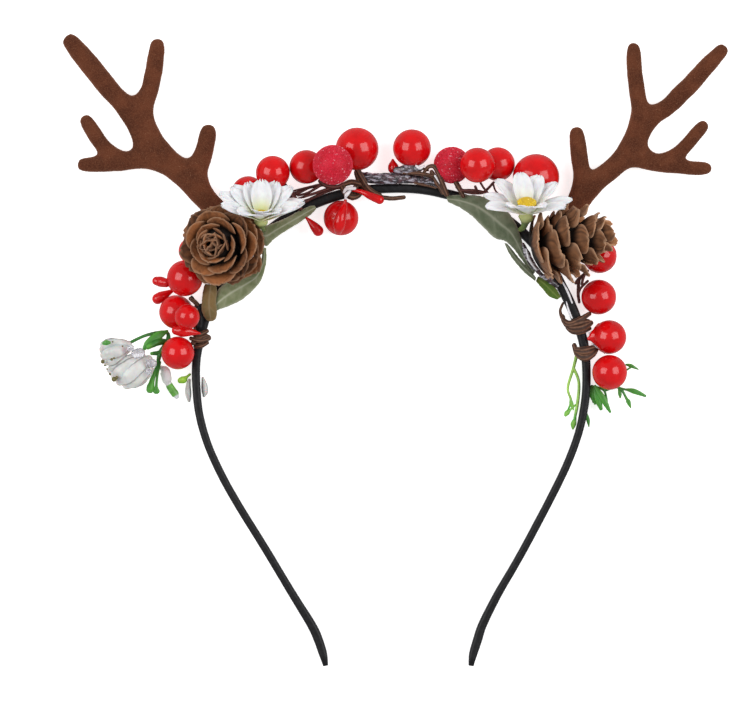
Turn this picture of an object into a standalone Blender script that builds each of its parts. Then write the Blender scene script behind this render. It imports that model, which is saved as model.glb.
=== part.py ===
"""Reindeer antler headband with cones, daisies, berries, leaves and sprigs.

Metres, +Z up.  The headband lies on its back: the hoop's flat back edge is on
the plane z = 0 and the decorated front faces +Z.  +X runs across the hoop and
+Y from the hoop's open ends to its crown.
"""
import math

import bmesh
import bpy
from mathutils import Matrix, Vector

# Layout tables give x (to the right) and y (down) in drawing units, heights in mm.
UNIT = 0.00036
MID_X = 395.3
MID_Y = 350.5
MM = 0.001

# Hoop
HOOP_DEPTH = 6.0
SHEET = 0.001

# Antlers are flocked mouldings, a little flatter than round
ANTLER_FLATTEN = 0.85
ANTLER_MID = 4.35
SKIN_FIT = 1.12
WIRE_FIT = 0.88

BERRY_SIDES = 11
BERRY_RINGS = 6

for old in list(bpy.data.objects):
    bpy.data.objects.remove(old, do_unlink=True)

parts = bpy.data.collections.new("reindeer_antler_headband")
bpy.context.scene.collection.children.link(parts)


def material(name, color, roughness, metallic=0.0):
    mat = bpy.data.materials.new(name)
    mat.use_nodes = True
    shader = mat.node_tree.nodes["Principled BSDF"]
    shader.inputs["Base Color"].default_value = (*color, 1.0)
    shader.inputs["Roughness"].default_value = roughness
    shader.inputs["Metallic"].default_value = metallic
    mat.diffuse_color = (*color, 1.0)
    return mat


LOOKS = {
    "ribbon": ((0.015, 0.015, 0.017), 0.55),
    "flock": ((0.150, 0.052, 0.024), 0.95),
    "cone_scale": ((0.170, 0.085, 0.045), 0.80),
    "petal": ((0.820, 0.820, 0.810), 0.70),
    "pale_green": ((0.500, 0.560, 0.220), 0.70),
    "yellow": ((0.800, 0.620, 0.040), 0.80),
    "leaf": ((0.190, 0.240, 0.130), 0.75),
    "leaf_brown": ((0.260, 0.190, 0.080), 0.75),
    "bright_green": ((0.120, 0.300, 0.030), 0.60),
    "berry": ((0.700, 0.010, 0.012), 0.15),
    "frosted": ((0.720, 0.030, 0.080), 0.85),
    "vine": ((0.100, 0.045, 0.028), 0.75),
    "stem_red": ((0.110, 0.014, 0.014), 0.50),
    "sprig": ((0.180, 0.380, 0.060), 0.55),
}


def at(x, y, z):
    """Metres for a drawing position and a height in millimetres."""
    return Vector(((x - MID_X) * UNIT, (MID_Y - y) * UNIT, z * MM))


def place(name, mesh, look, location=(0, 0, 0), matrix=None, smooth=True):
    obj = bpy.data.objects.new(name, mesh)
    parts.objects.link(obj)
    if matrix is not None:
        obj.matrix_world = matrix
    else:
        obj.location = location
    color, roughness = LOOKS[look]
    mat = bpy.data.materials.get(name) or material(name, color, roughness)
    if len(mesh.materials) == 0:
        mesh.materials.append(mat)
    if smooth and hasattr(mesh, "shade_smooth"):
        mesh.shade_smooth()
    return obj


def mesh_of(name, bm):
    bmesh.ops.recalc_face_normals(bm, faces=bm.faces)
    mesh = bpy.data.meshes.new(name)
    bm.to_mesh(mesh)
    bm.free()
    return mesh


def axes_along(direction, up):
    """A rotation whose Z is direction and whose Y leans towards up."""
    z = Vector(direction).normalized()
    x = Vector(up).cross(z).normalized()
    y = z.cross(x)
    return Matrix((x, y, z)).transposed().to_4x4()


def smooth_path(rows, steps):
    """Catmull-Rom points through the rows (tuples of numbers)."""
    out = []
    last = len(rows) - 1
    for i in range(last):
        p0, p1 = rows[max(i - 1, 0)], rows[i]
        p2, p3 = rows[i + 1], rows[min(i + 2, last)]
        for k in range(steps):
            t = k / steps
            out.append(tuple(
                0.5 * (2 * b + (c - a) * t + (2 * a - 5 * b + 4 * c - d) * t * t
                       + (3 * b - a - 3 * c + d) * t ** 3)
                for a, b, c, d in zip(p0, p1, p2, p3)))
    out.append(tuple(rows[last]))
    return out


def loft(name, rings, look, smooth=True):
    """A closed solid through equal rings of points, with flat ends."""
    bm = bmesh.new()
    grid = [[bm.verts.new(p) for p in ring] for ring in rings]
    count = len(rings[0])
    for low, high in zip(grid, grid[1:]):
        for i in range(count):
            j = (i + 1) % count
            bm.faces.new((low[i], low[j], high[j], high[i]))
    bm.faces.new(list(reversed(grid[0])))
    bm.faces.new(grid[-1])
    return place(name, mesh_of(name, bm), look, smooth=smooth)


def tube(name, rows, look, resolution=1):
    """A round wire or pod: rows of x, y, height, diameter (drawing units)."""
    curve = bpy.data.curves.new(name, "CURVE")
    curve.dimensions = "3D"
    curve.bevel_depth = UNIT
    curve.bevel_resolution = resolution
    curve.use_fill_caps = True
    spline = curve.splines.new("POLY")
    spline.points.add(len(rows) - 1)
    for point, (x, y, z, width) in zip(spline.points, rows):
        point.co = (*at(x, y, z), 1.0)
        point.radius = width / 2
    return place(name, curve, look, smooth=False)


def tree(name, rows, look, subdivide=0, flatten=1.0, mid=0.0, fit=WIRE_FIT):
    """A branching solid: rows of label, parent, x, y, height, width."""
    mesh = bpy.data.meshes.new(name)
    index = {}
    points = []
    edges = []
    for label, parent, x, y, z, _ in rows:
        index[label] = len(points)
        points.append(at(x, y, z / flatten))
        if parent:
            edges.append((index[parent], index[label]))
    mesh.from_pydata(points, edges, [])
    obj = place(name, mesh, look, smooth=False)
    skin = obj.modifiers.new("Skin", "SKIN")
    skin.branch_smoothing = 0.6
    skin.use_smooth_shade = True
    skin.use_x_symmetry = False
    for vertex, row in zip(mesh.skin_vertices[0].data, rows):
        radius = row[5] * UNIT / 2 * fit
        vertex.radius = (radius, radius)
    mesh.skin_vertices[0].data[0].use_root = True
    if subdivide:
        soft = obj.modifiers.new("Subdivision", "SUBSURF")
        soft.levels = subdivide
        soft.render_levels = subdivide
    depsgraph = bpy.context.evaluated_depsgraph_get()
    solid = bpy.data.meshes.new_from_object(obj.evaluated_get(depsgraph))
    bm = bmesh.new()
    bm.from_mesh(solid)
    bmesh.ops.recalc_face_normals(bm, faces=bm.faces)
    bm.to_mesh(solid)
    bm.free()
    obj.modifiers.clear()
    obj.data = solid
    obj.scale = (1.0, 1.0, flatten)
    obj.location.z = mid * MM
    return obj


def berry(name, x, y, z, radius, look="berry"):
    bm = bmesh.new()
    bmesh.ops.create_uvsphere(bm, u_segments=BERRY_SIDES, v_segments=BERRY_RINGS,
                              radius=radius * UNIT)
    return place(name, mesh_of(name, bm), look, location=at(x, y, z))


# Headband
# x, y, width of the hoop's edge
HOOP = [
    (325.5, 666.5, 5.0), (323, 655, 8.2), (318, 640, 9.2), (311, 625, 9.0),
    (292.5, 595, 8.0), (265.5, 550, 7.8), (238, 505.5, 7.8), (221, 475, 7.8),
    (207.5, 445, 7.8), (199, 415, 8.0), (195.8, 385, 8.2), (196, 360, 8.4),
    (200, 338, 8.8), (207, 313, 9.4), (222, 284, 10.0), (240, 259, 10.0),
    (262, 236, 10.0), (286, 218, 10.5), (308, 206, 10.5), (331, 197, 10.5),
    (358, 190.5, 10), (390, 188, 9.0), (420, 189, 9.0), (446, 193.5, 10),
    (472, 201, 10.0), (500, 214, 10.0), (529, 238, 10.0), (550, 264, 10.0),
    (563, 288, 10.5), (573, 309, 10.5), (580, 328, 10.0), (585, 348, 9.2),
    (587, 372, 8.4), (585.8, 400, 8.2), (580, 430, 7.8), (569.5, 460, 7.8),
    (555.5, 490, 7.8), (532, 535, 7.8), (515.5, 565, 7.8), (498, 595, 8.2),
    (483, 625, 8.8), (478, 640, 9.2), (473.3, 655, 8.2), (471.3, 666.5, 5.2),
]


def headband():
    path = smooth_path(HOOP, 1)
    section = [(-0.72, 0.0), (0.72, 0.0), (1.0, 0.14), (1.0, 0.84),
               (0.6, 1.0), (-0.6, 1.0), (-1.0, 0.84), (-1.0, 0.14)]
    rings = []
    for i, (x, y, width) in enumerate(path):
        ahead = path[min(i + 1, len(path) - 1)]
        behind = path[max(i - 1, 0)]
        run = Vector((ahead[0] - behind[0], behind[1] - ahead[1], 0)).normalized()
        side = Vector((run.y, -run.x, 0))
        end = i in (0, len(path) - 1)
        ring = []
        for across, up in section:
            height = (0.18 + 0.64 * up if end else up) * HOOP_DEPTH
            ring.append(at(x, y, height) + side * (across * width / 2 * UNIT))
        rings.append(ring)
    return loft("headband", rings, "ribbon")


headband()

# Antlers
# label, parent, x, y, width
ANTLER_LEFT = [
    ("foot", None, 247.3, 242.6, 20), ("trunk", "foot", 203, 197, 24),
    ("j1", "trunk", 192, 180, 24), ("beam", "j1", 172, 168, 21),
    ("j2", "beam", 153, 154, 23), ("up", "j2", 146, 134, 25),
    ("j3", "up", 137, 114, 24), ("l1", "j3", 119, 102, 19),
    ("l2", "l1", 100, 77.5, 20), ("l3", "l2", 80, 53, 19),
    ("l4", "l3", 69, 40, 16), ("l5", "l4", 64.8, 35.5, 10),
    ("t1", "j3", 149, 92, 17), ("t2", "t1", 154, 68, 17),
    ("t3", "t2", 157, 45, 15), ("t4", "t3", 157, 37.5, 9),
    ("b1", "j1", 203, 156, 18), ("b2", "b1", 208, 132, 17),
    ("b3", "b2", 209, 123.5, 10), ("k0", "j2", 130, 162, 18),
    ("j4", "k0", 112, 160, 21), ("m1", "j4", 98, 140, 15),
    ("m2", "m1", 86, 121, 14), ("m3", "m2", 82.5, 115, 8),
    ("n1", "j4", 97, 165, 17), ("n2", "n1", 83, 164.5, 14),
    ("n3", "n2", 76.8, 164, 9),
]
ANTLER_RIGHT = [
    ("foot", None, 545, 248.5, 20), ("trunk", "foot", 578, 203, 24),
    ("j1", "trunk", 588, 186, 23), ("beam", "j1", 611, 170, 20),
    ("j2", "beam", 629, 153, 22), ("up", "j2", 637, 134, 22),
    ("j3", "up", 645, 117, 22), ("l1", "j3", 667, 108, 17),
    ("l2", "l1", 690, 85, 18), ("l3", "l2", 712, 61, 16),
    ("l4", "l3", 723, 49, 13), ("l5", "l4", 726.5, 45, 8),
    ("t1", "j3", 638, 94, 16), ("t2", "t1", 635, 72, 15),
    ("t3", "t2", 634, 49, 14), ("t4", "t3", 634, 41.5, 8),
    ("b1", "j1", 580, 160, 17), ("b2", "b1", 577, 134, 15.5),
    ("b3", "b2", 576.5, 126, 9), ("k0", "j2", 651, 164, 18),
    ("j4", "k0", 671, 163, 19), ("m1", "j4", 687, 145, 13),
    ("m2", "m1", 703, 126, 13), ("m3", "m2", 707.5, 121.5, 7),
    ("n1", "j4", 687, 168, 14), ("n2", "n1", 706, 168, 13),
    ("n3", "n2", 713, 168, 8),
]


def antler(name, rows):
    full = [(label, parent, x, y, 0.0, width) for label, parent, x, y, width in rows]
    return tree(name, full, "flock", subdivide=1, flatten=ANTLER_FLATTEN,
                mid=ANTLER_MID, fit=SKIN_FIT)


antler("antler_left", ANTLER_LEFT)
antler("antler_right", ANTLER_RIGHT)

# Pine cones
SCALES_ROUND = 7
SCALE_STEPS = 4


def pine_cone(name, base, apex, radius, tiers, turn):
    """Tiers of overlapping scales: each flares to a lobed lip and steps back in."""
    base = at(*base)
    run = at(*apex) - base
    length = run.length
    basis = axes_along(run, (0.1, 1.0, 0.3))
    count = SCALES_ROUND * SCALE_STEPS
    tier = length / (tiers + 0.35)

    def body(w):
        t = min(w / length, 1.0)
        return radius * (0.62 + 0.38 * math.sin(math.pi * min(t * 1.35 + 0.12, 0.5))) \
            * math.sqrt(max(1.0 - (max(t - 0.3, 0.0) / 0.74) ** 2.2, 0.02))

    rings = []
    for k in range(tiers):
        for step, reach, lobed in ((0.0, 0.70, 0.0), (0.95, 1.0, 1.0)):
            w = (k + step) * tier
            ring = []
            for i in range(count):
                angle = 2 * math.pi * (i + (k % 2) * SCALE_STEPS / 2) / count + turn
                phase = abs((i % SCALE_STEPS) / SCALE_STEPS - 0.5) * 2
                lobe = 1.0 - lobed * 0.17 * (1.0 - phase) ** 1.5
                r = body(w + tier * 0.3) * UNIT * reach * lobe
                rise = lobed * tier * 0.18 * phase
                local = Vector((math.cos(angle) * r, math.sin(angle) * r, w + rise))
                ring.append(base + basis @ local)
            rings.append(ring)
    tip = [base + basis @ Vector((math.cos(2 * math.pi * i / count) * radius * UNIT * 0.12,
                                  math.sin(2 * math.pi * i / count) * radius * UNIT * 0.12,
                                  length))
           for i in range(count)]
    rings.append(tip)
    return loft(name, rings, "cone_scale", smooth=False)


pine_cone("pine_cone_left", (231, 245, 9.9), (209.5, 246, 33.5), 38.0, 6, 0.2)
pine_cone("pine_cone_right", (532, 249, 21.4), (614, 237, 22.6), 38.5, 6, 0.5)

# Daisies
PETAL_COUNT = 11
# share of the petal's length: at its middle, between, at the notch
PETAL_RINGS = [(0.32, 0.32, 0.32), (0.70, 0.68, 0.56), (1.00, 0.93, 0.60)]
LEFT_HUB = (262, 222, 21.0)
LEFT_FACE = (0.04, 0.766, 0.643)
LEFT_LENGTH = (48, 38.5, 36)
LEFT_CUP = (39, 60, 62)
RIGHT_HUB = (525, 215.5, 22.2)
RIGHT_FACE = (0.03, 0.848, 0.530)
RIGHT_LENGTH = (48, 42, 37)
RIGHT_CUP = (27, 56, 50)


def around(values, angle):
    """The value at an angle, from those at the sides, the back and the front."""
    far = values[1] if math.sin(angle) > 0 else values[2]
    return values[0] * math.cos(angle) ** 2 + far * math.sin(angle) ** 2


def daisy_petals(name, hub, face, length, cup, turn):
    """A cup of notched petals round its face direction."""
    origin = at(*hub)
    basis = axes_along(face, (0, 1, 0))
    bm = bmesh.new()
    count = PETAL_COUNT * 4
    grid = []
    for middle, between, notch in PETAL_RINGS:
        ring = []
        for i in range(count):
            share = (middle, between, notch, between)[i % 4]
            angle = 2 * math.pi * i / count + turn
            run = around(length, angle) * share * UNIT
            slope = math.radians(around(cup, angle))
            r = run * math.cos(slope)
            local = Vector((math.cos(angle) * r, math.sin(angle) * r, run * math.sin(slope)))
            ring.append(bm.verts.new(basis @ local))
        grid.append(ring)
    heart = bm.verts.new((0, 0, 0))
    for i in range(count):
        j = (i + 1) % count
        bm.faces.new((heart, grid[0][i], grid[0][j]))
        for low, high in zip(grid, grid[1:]):
            bm.faces.new((low[i], high[i], high[j], low[j]))
    obj = place(name, mesh_of(name, bm), "petal", location=origin, smooth=False)
    shell = obj.modifiers.new("Solidify", "SOLIDIFY")
    shell.thickness = SHEET
    shell.offset = 0.0
    return obj


def disc(name, hub, face, rows, look):
    """A rounded button on a stub: rows of height, forward shift, radius (drawing units)."""
    origin = at(*hub)
    basis = axes_along(face, (0, 1, 0))
    rings = []
    for up, forward, radius in rows:
        ring = []
        for i in range(12):
            angle = 2 * math.pi * i / 12
            local = Vector((math.cos(angle) * radius, math.sin(angle) * radius - forward, up))
            ring.append(origin + basis @ (local * UNIT))
        rings.append(ring)
    return loft(name, rings, look)


daisy_petals("daisy_left_petals", LEFT_HUB, LEFT_FACE, LEFT_LENGTH, LEFT_CUP, 0.10)
daisy_petals("daisy_right_petals", RIGHT_HUB, RIGHT_FACE, RIGHT_LENGTH, RIGHT_CUP, 0.07)
disc("daisy_right_disc", RIGHT_HUB, RIGHT_FACE,
     [(6.5, 1.0, 1.2), (12.5, 2.2, 6.6), (14.4, 2.4, 8.0), (16.2, 2.4, 7.0), (17.4, 2.4, 3.0)], "yellow")
tube("daisy_left_base", [(262, 223.4, 20.0, 9), (262.2, 225.2, 19.3, 11), (262.6, 227.6, 17.6, 7),
                         (263.2, 229.4, 15.4, 4), (263.8, 230, 12.4, 4), (264, 230, 8.9, 4)], "pale_green")
tube("daisy_right_base", [(525, 219.8, 19.8, 9.5), (524.6, 221.4, 19.1, 11.5), (523.4, 223.4, 17.8, 7),
                          (521.6, 225.8, 15.4, 4), (516.5, 227, 12.0, 4), (513, 227, 9.4, 4)], "pale_green")

# Leaves


def leaf(name, rows, look):
    """A cloth blade: rows of one edge x, y, the other edge x, y, height, arch."""
    bm = bmesh.new()
    grid = []
    for ax, ay, bx, by, z, arch in rows:
        one, two = at(ax, ay, z), at(bx, by, z)
        middle = (one + two) / 2 + Vector((0, 0, arch * MM))
        grid.append([bm.verts.new(one), bm.verts.new(middle), bm.verts.new(two)])
    for low, high in zip(grid, grid[1:]):
        for i in range(2):
            bm.faces.new((low[i], high[i], high[i + 1], low[i + 1]))
    obj = place(name, mesh_of(name, bm), look, smooth=False)
    shell = obj.modifiers.new("Solidify", "SOLIDIFY")
    shell.thickness = SHEET
    shell.offset = 0.0
    return obj


leaf("leaf_left_upper", [
    (262, 228, 262, 243, 7.4, 0.6), (268, 225, 267, 246, 7.4, 0.8), (277, 222, 274, 239, 7.4, 0.8),
    (288, 217, 287, 230, 7.3, 0.7), (300, 210.5, 300, 222, 7.2, 0.6), (310, 206, 311, 214, 7.0, 0.4),
    (315, 206, 316, 209, 6.9, 0.1)], "leaf")
leaf("leaf_left_lower", [
    (262, 247, 266, 248, 7.4, 0.5), (261, 262, 266, 262, 7.4, 0.5), (252, 274, 262, 278, 7.3, 0.5),
    (240, 279, 256, 287, 7.2, 0.6), (227, 282, 243, 299, 7.2, 0.8), (219, 289, 231, 305, 7.2, 0.8),
    (215.5, 297, 220, 309, 7.1, 0.6), (213, 303, 215, 311, 7.0, 0.2)], "leaf")
leaf("leaf_left_lobe", [
    (205, 284, 216, 285, 8.5, 0.4), (203, 292, 217, 292, 8.8, 0.6), (202, 302, 216, 302, 8.7, 0.6),
    (202, 311, 217, 311, 8.4, 0.6), (205, 318, 216, 318, 8.0, 0.4), (208, 321, 213, 321, 7.9, 0.1)],
    "leaf_brown")
leaf("leaf_right_upper", [
    (446, 195.5, 448, 202, 7.1, 0.2), (463, 195, 459, 207, 7.3, 0.6), (480, 196, 472, 216, 7.4, 1.0),
    (494, 201, 484, 228, 7.4, 1.3), (507, 211, 495, 238, 7.4, 1.3), (516, 224, 505, 241, 7.4, 1.0),
    (521, 238, 513, 248, 7.4, 0.6), (526, 253, 520, 257, 7.3, 0.3), (535, 272, 533, 275, 7.2, 0.1)],
    "leaf")
leaf("leaf_right_lower", [
    (507, 244, 504.5, 243, 8.9, 0.1), (512, 249.5, 509, 253, 8.9, 0.3), (519, 258.5, 516, 263, 8.9, 0.3),
    (528, 268, 525, 273, 8.9, 0.3), (536, 278, 535, 281, 8.8, 0.1)], "leaf")
leaf("leaf_right_bud", [
    (538, 276.5, 536, 281, 7.2, 0.2), (546, 279, 542, 288, 7.3, 0.5), (555, 287, 549, 296, 7.3, 0.5),
    (561, 297, 557, 299.5, 7.2, 0.2)], "bright_green")

# Berries
# name, x, y, height, radius
BERRIES = [
    ("berry_01", 248, 193, 6.45, 17), ("berry_02", 273, 173, 11.6, 17),
    ("berry_03", 306.3, 167, 9.2, 17), ("berry_04", 357, 149, 8.1, 21.5),
    ("berry_05", 412, 148, 7.2, 19), ("berry_06", 477, 166, 16.6, 17.5),
    ("berry_07", 498, 164, 6.5, 17), ("berry_08", 536, 177.2, 8.7, 23.3),
    ("berry_09", 341, 218, 6.9, 17.5), ("berry_10", 191.4, 250.5, 5.0, 13.2),
    ("berry_11", 185.2, 278.4, 11.7, 18), ("berry_12", 176, 312, 6.5, 17),
    ("berry_13", 188, 317, 16.6, 12.5), ("berry_14", 178, 353, 9.8, 16.5),
    ("berry_15", 600, 256, 6.5, 17), ("berry_16", 599, 297, 6.7, 17.5),
    ("berry_17", 609.5, 337, 6.5, 17), ("berry_18", 609.5, 372.3, 9.2, 17.5),
]
FROSTED = [
    ("frosted_berry_left", 333, 166, 19.1, 20), ("frosted_berry_right", 452, 165, 7.0, 18.5),
]
for row in BERRIES:
    berry(*row)
for row in FROSTED:
    berry(*row, look="frosted")

# Pods
# rows of x, y, height, width
PODS = {
    "pod_01": [(152.4, 280.4, 9, 4), (154.4, 280.7, 9.2, 8), (159, 281.5, 9.7, 10), (166.2, 282.8, 11.2, 7)],
    "pod_02": [(152, 301, 3, 4), (154.4, 300.4, 3, 9.5), (160, 298.2, 3.2, 10.5), (166, 295.4, 3.6, 5)],
    "pod_03": [(172.4, 330.3, 11.5, 4), (174.8, 330.4, 11.5, 8.5), (182, 331, 11.5, 11),
               (191, 332, 11.2, 8), (199, 333, 10.4, 3)],
    "pod_04": [(306.8, 218.4, 7.6, 2.5), (310, 221.6, 7.5, 6), (315, 227.2, 7.1, 10), (318.6, 231.2, 6.8, 10),
               (320.6, 233.6, 6.7, 5)],
    "pod_05": [(354, 190.3, 9.9, 3), (362, 192.4, 10.8, 5), (371, 196.4, 11.0, 8), (379.6, 200, 10.6, 8.6),
               (383, 201.4, 10.4, 4.5)],
    "pod_06": [(393.8, 172.4, 4.4, 6), (393.2, 168, 5, 11), (392.6, 164, 5, 9), (393.5, 160, 5, 3)],
    "pod_07": [(345.5, 200.5, 10.6, 3), (343.8, 208, 14.9, 7), (341, 217, 16.6, 11),
               (339.2, 226, 15.9, 12), (338.4, 232, 13.6, 7)],
}
for pod_name, pod_rows in PODS.items():
    tube(pod_name, pod_rows, "berry", resolution=1)

# Vines, wraps and stems
tree("vine_crown_left", [
    ("a", None, 297, 205, 7.5, 6), ("b", "a", 291, 195.5, 8.0, 5), ("c", "b", 283.6, 186.8, 8.3, 4),
    ("d", "b", 302, 191, 7.9, 3), ("e", "d", 311, 187, 7.7, 3), ("f", "e", 326, 184.5, 6.4, 3),
    ("g", "a", 309, 199.5, 7.6, 3), ("h", "g", 324, 192.5, 7.2, 3), ("i", "h", 341, 186.5, 6.9, 3)],
    "stem_red")
tree("vine_crown_loop", [
    ("a", None, 357.5, 172.5, 8.2, 7), ("b", "a", 360, 181, 7.9, 6), ("c", "b", 367, 190, 7.6, 5.5),
    ("d", "c", 378, 196, 6.8, 5), ("e", "d", 391, 198.2, 5.4, 4.5), ("f", "e", 404, 197, 4.4, 4),
    ("g", "b", 354, 190, 7.9, 5), ("h", "g", 352.5, 198, 7.2, 5)],
    "vine")
tree("vine_crown_middle", [
    ("a", None, 367, 178.5, 3.4, 6.5), ("b", "a", 390, 178, 3.4, 8), ("c", "b", 412, 177.4, 3.4, 8),
    ("d", "c", 427, 177.5, 5.0, 6), ("e", "c", 412.2, 169.0, 6.5, 4), ("f", "d", 438, 184, 8.6, 5.5),
    ("g", "f", 443.5, 192, 8.8, 6), ("h", "f", 431.6, 172, 8.2, 4.5)],
    "vine")
tree("stem_berry_pair", [
    ("a", None, 463, 191, 8.2, 3.4), ("b", "a", 476, 193, 9.0, 3.2), ("c", "b", 475, 187, 13.0, 2.6),
    ("d", "b", 484, 192, 9.0, 2.8), ("e", "d", 493.6, 182.5, 9.0, 2.6), ("f", "a", 457, 187, 7.6, 3.6)],
    "stem_red")
tree("wrap_left", [
    ("a", None, 190.5, 298.6, 12.0, 3.4), ("b", "a", 196, 303, 8.4, 4.4), ("c", "b", 199.3, 309, 4.4, 3.8),
    ("d", "c", 196.4, 322, 4.2, 3.2), ("e", "d", 194.6, 333, 6.6, 4), ("f", "e", 199, 338, 8.0, 5.6),
    ("g", "f", 206.4, 336, 7.8, 4.5), ("h", "g", 209, 338, 3.4, 4.0), ("i", "f", 193, 343, 8.0, 4.5)],
    "vine")
tree("stem_right", [
    ("a", None, 576.2, 283, 3.6, 3.0), ("b", "a", 579.3, 279, 3.6, 3.4), ("c", "b", 587.5, 271.5, 5.2, 3.0),
    ("d", "b", 578.6, 293, 4.0, 3.2), ("e", "d", 579.4, 302, 5.2, 3.0)],
    "stem_red")
tree("wrap_right_upper", [
    ("a", None, 563.2, 316, 2.6, 4.2), ("b", "a", 564.6, 322, 5.8, 5), ("c", "b", 570, 325, 8.2, 7),
    ("d", "c", 580, 323, 8.4, 8), ("e", "d", 588, 322, 7.0, 6), ("f", "e", 590.4, 324, 3.2, 5)],
    "vine")
tree("wrap_right_lower", [
    ("a", None, 576, 349, 3.2, 4.5), ("b", "a", 577.6, 351, 7.2, 6), ("c", "b", 585, 352, 8.8, 9),
    ("d", "c", 592, 350.5, 7.2, 6), ("e", "d", 594.3, 350, 4.0, 4.6)],
    "vine")

# Bell flowers


def bell(name, stem, mouth, radius, turn, lobes=5):
    """A thin cup that opens from its stem to a lobed mouth."""
    start = at(*stem)
    run = at(*mouth) - start
    basis = axes_along(run, (0, 0, 1))
    bm = bmesh.new()
    count = lobes * 3
    grid = []
    for along, wide, wave in ((0.03, 0.30, 0.0), (0.25, 0.66, 0.0), (0.62, 0.86, 0.05), (1.0, 1.0, 0.16)):
        ring = []
        for i in range(count):
            angle = 2 * math.pi * i / count + turn
            tongue = 1.0 if i % 3 == 0 else -0.5
            r = radius * UNIT * wide * (1.0 + 0.4 * wave * tongue)
            w = run.length * (along + wave * 0.7 * tongue * 0.5)
            ring.append(bm.verts.new(start + basis @ Vector((math.cos(angle) * r,
                                                             math.sin(angle) * r, w))))
        grid.append(ring)
    hub = bm.verts.new(start)
    for i in range(count):
        j = (i + 1) % count
        bm.faces.new((hub, grid[0][i], grid[0][j]))
        for low, high in zip(grid, grid[1:]):
            bm.faces.new((low[i], high[i], high[j], low[j]))
    obj = place(name, mesh_of(name, bm), "petal", smooth=False)
    shell = obj.modifiers.new("Solidify", "SOLIDIFY")
    shell.thickness = SHEET
    shell.offset = -1.0
    return obj


bell("bell_flower_upper", (126, 345, 9.0), (105.5, 357, 8.2), 16.5, 0.3)
bell("bell_flower_lower", (150, 358.5, 7.0), (129, 382, 6.8), 16.5, 0.0)
tree("bell_sprig", [
    ("l", None, 128.3, 343.6, 8.95, 3), ("i", "l", 144, 336, 7.4, 3), ("h", "i", 158, 332.5, 5.2, 3.4),
    ("a", "h", 167, 333, 3.6, 3.6), ("b", "a", 167, 342, 4.4, 5), ("c", "b", 160, 353, 6.2, 5),
    ("d", "c", 157, 366, 5.6, 3.4), ("e", "d", 152, 380, 5.4, 5), ("f", "e", 150, 389, 5.2, 8),
    ("g", "c", 151.5, 353.5, 7.0, 3.2), ("j", "b", 158, 342, 6.6, 7), ("k", "j", 148, 347, 8.2, 5)],
    "sprig")
tube("bell_bud", [(161, 367.5, 4.2, 6), (164, 371, 3.4, 11), (166, 379, 2.8, 10), (168, 384, 2.6, 6),
                  (171, 389.5, 2.6, 7), (175, 395, 2.6, 7), (176.5, 397.5, 2.6, 4)], "petal")
tube("bell_bud_light", [(188.6, 374.5, 3.2, 2.5), (186, 377, 3.2, 3), (184, 379.5, 3.2, 7),
                        (178.8, 381, 3.2, 4)], "sprig")
tube("band_petal_outer", [(188.8, 380, 3, 3), (187.8, 386, 3, 5), (188, 394, 3, 6), (188.6, 401, 3, 3)],
     "petal")
tube("band_petal_inner", [(202.4, 378, 3, 2.5), (204, 385, 3, 6), (204.6, 392, 3, 6.5), (203.6, 396, 3, 3)],
     "petal")

# Sprigs
tree("sprig_inner", [
    ("a", None, 577.2, 354.6, 3.6, 3.4), ("b", "a", 574, 368, 3.2, 3.0), ("c", "b", 568.3, 388, 3.0, 2.6),
    ("d", "c", 571.5, 401, 3.0, 3.2), ("h", "d", 568, 411, 3.0, 3.8), ("e", "b", 579.3, 382, 3.2, 2.8),
    ("f", "e", 578.2, 402, 3.2, 3), ("g", "f", 574.2, 424, 3.0, 4.4)],
    "sprig")
tree("sprig_outer", [
    ("a", None, 593.4, 387, 2.6, 3.4), ("b", "a", 594, 402, 2.4, 3.8), ("d", "a", 605, 391, 2.6, 3.0),
    ("c", "d", 608, 409, 2.6, 4.2), ("e", "d", 620, 388, 3.2, 3.0), ("f", "e", 630, 405, 3.0, 3.4),
    ("g", "e", 645, 394, 3.0, 4.0), ("h", "d", 619, 376, 3.0, 2.6), ("i", "h", 636, 368, 3.2, 3.0)],
    "sprig")
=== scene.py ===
"""Looks of the reindeer antler headband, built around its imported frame.

Metres, +Z up.  The tables give x (to the right) and y (down) in drawing units and
heights in millimetres, the same way as the CAD source does.
"""
import math
import random

import bmesh
import bpy
from mathutils import Matrix, Vector, noise


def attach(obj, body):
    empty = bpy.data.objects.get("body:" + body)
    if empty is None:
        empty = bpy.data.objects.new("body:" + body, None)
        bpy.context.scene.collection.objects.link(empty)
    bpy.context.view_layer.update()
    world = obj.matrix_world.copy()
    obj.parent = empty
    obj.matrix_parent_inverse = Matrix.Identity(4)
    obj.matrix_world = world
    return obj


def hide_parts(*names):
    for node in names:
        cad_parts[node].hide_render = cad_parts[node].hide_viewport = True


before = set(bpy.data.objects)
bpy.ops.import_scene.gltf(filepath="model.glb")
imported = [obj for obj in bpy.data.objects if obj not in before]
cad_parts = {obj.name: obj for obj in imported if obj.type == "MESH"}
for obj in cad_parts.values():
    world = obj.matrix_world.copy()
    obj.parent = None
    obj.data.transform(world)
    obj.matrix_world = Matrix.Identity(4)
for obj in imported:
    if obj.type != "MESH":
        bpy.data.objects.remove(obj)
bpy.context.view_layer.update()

# Metres in a drawing unit, and where the frame's origin is in the drawing
UNIT = 0.00036
MID_X = 395.3
MID_Y = 350.5
MM = 0.001
GOLDEN = math.radians(137.508)


def at(x, y, z):
    """Metres for a drawing position and a height in millimetres."""
    return Vector(((x - MID_X) * UNIT, (MID_Y - y) * UNIT, z * MM))


def axes_along(direction, up):
    """A rotation whose Z is direction and whose Y leans towards up."""
    z = Vector(direction).normalized()
    x = Vector(up).cross(z).normalized()
    y = z.cross(x)
    return Matrix((x, y, z)).transposed().to_4x4()


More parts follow.
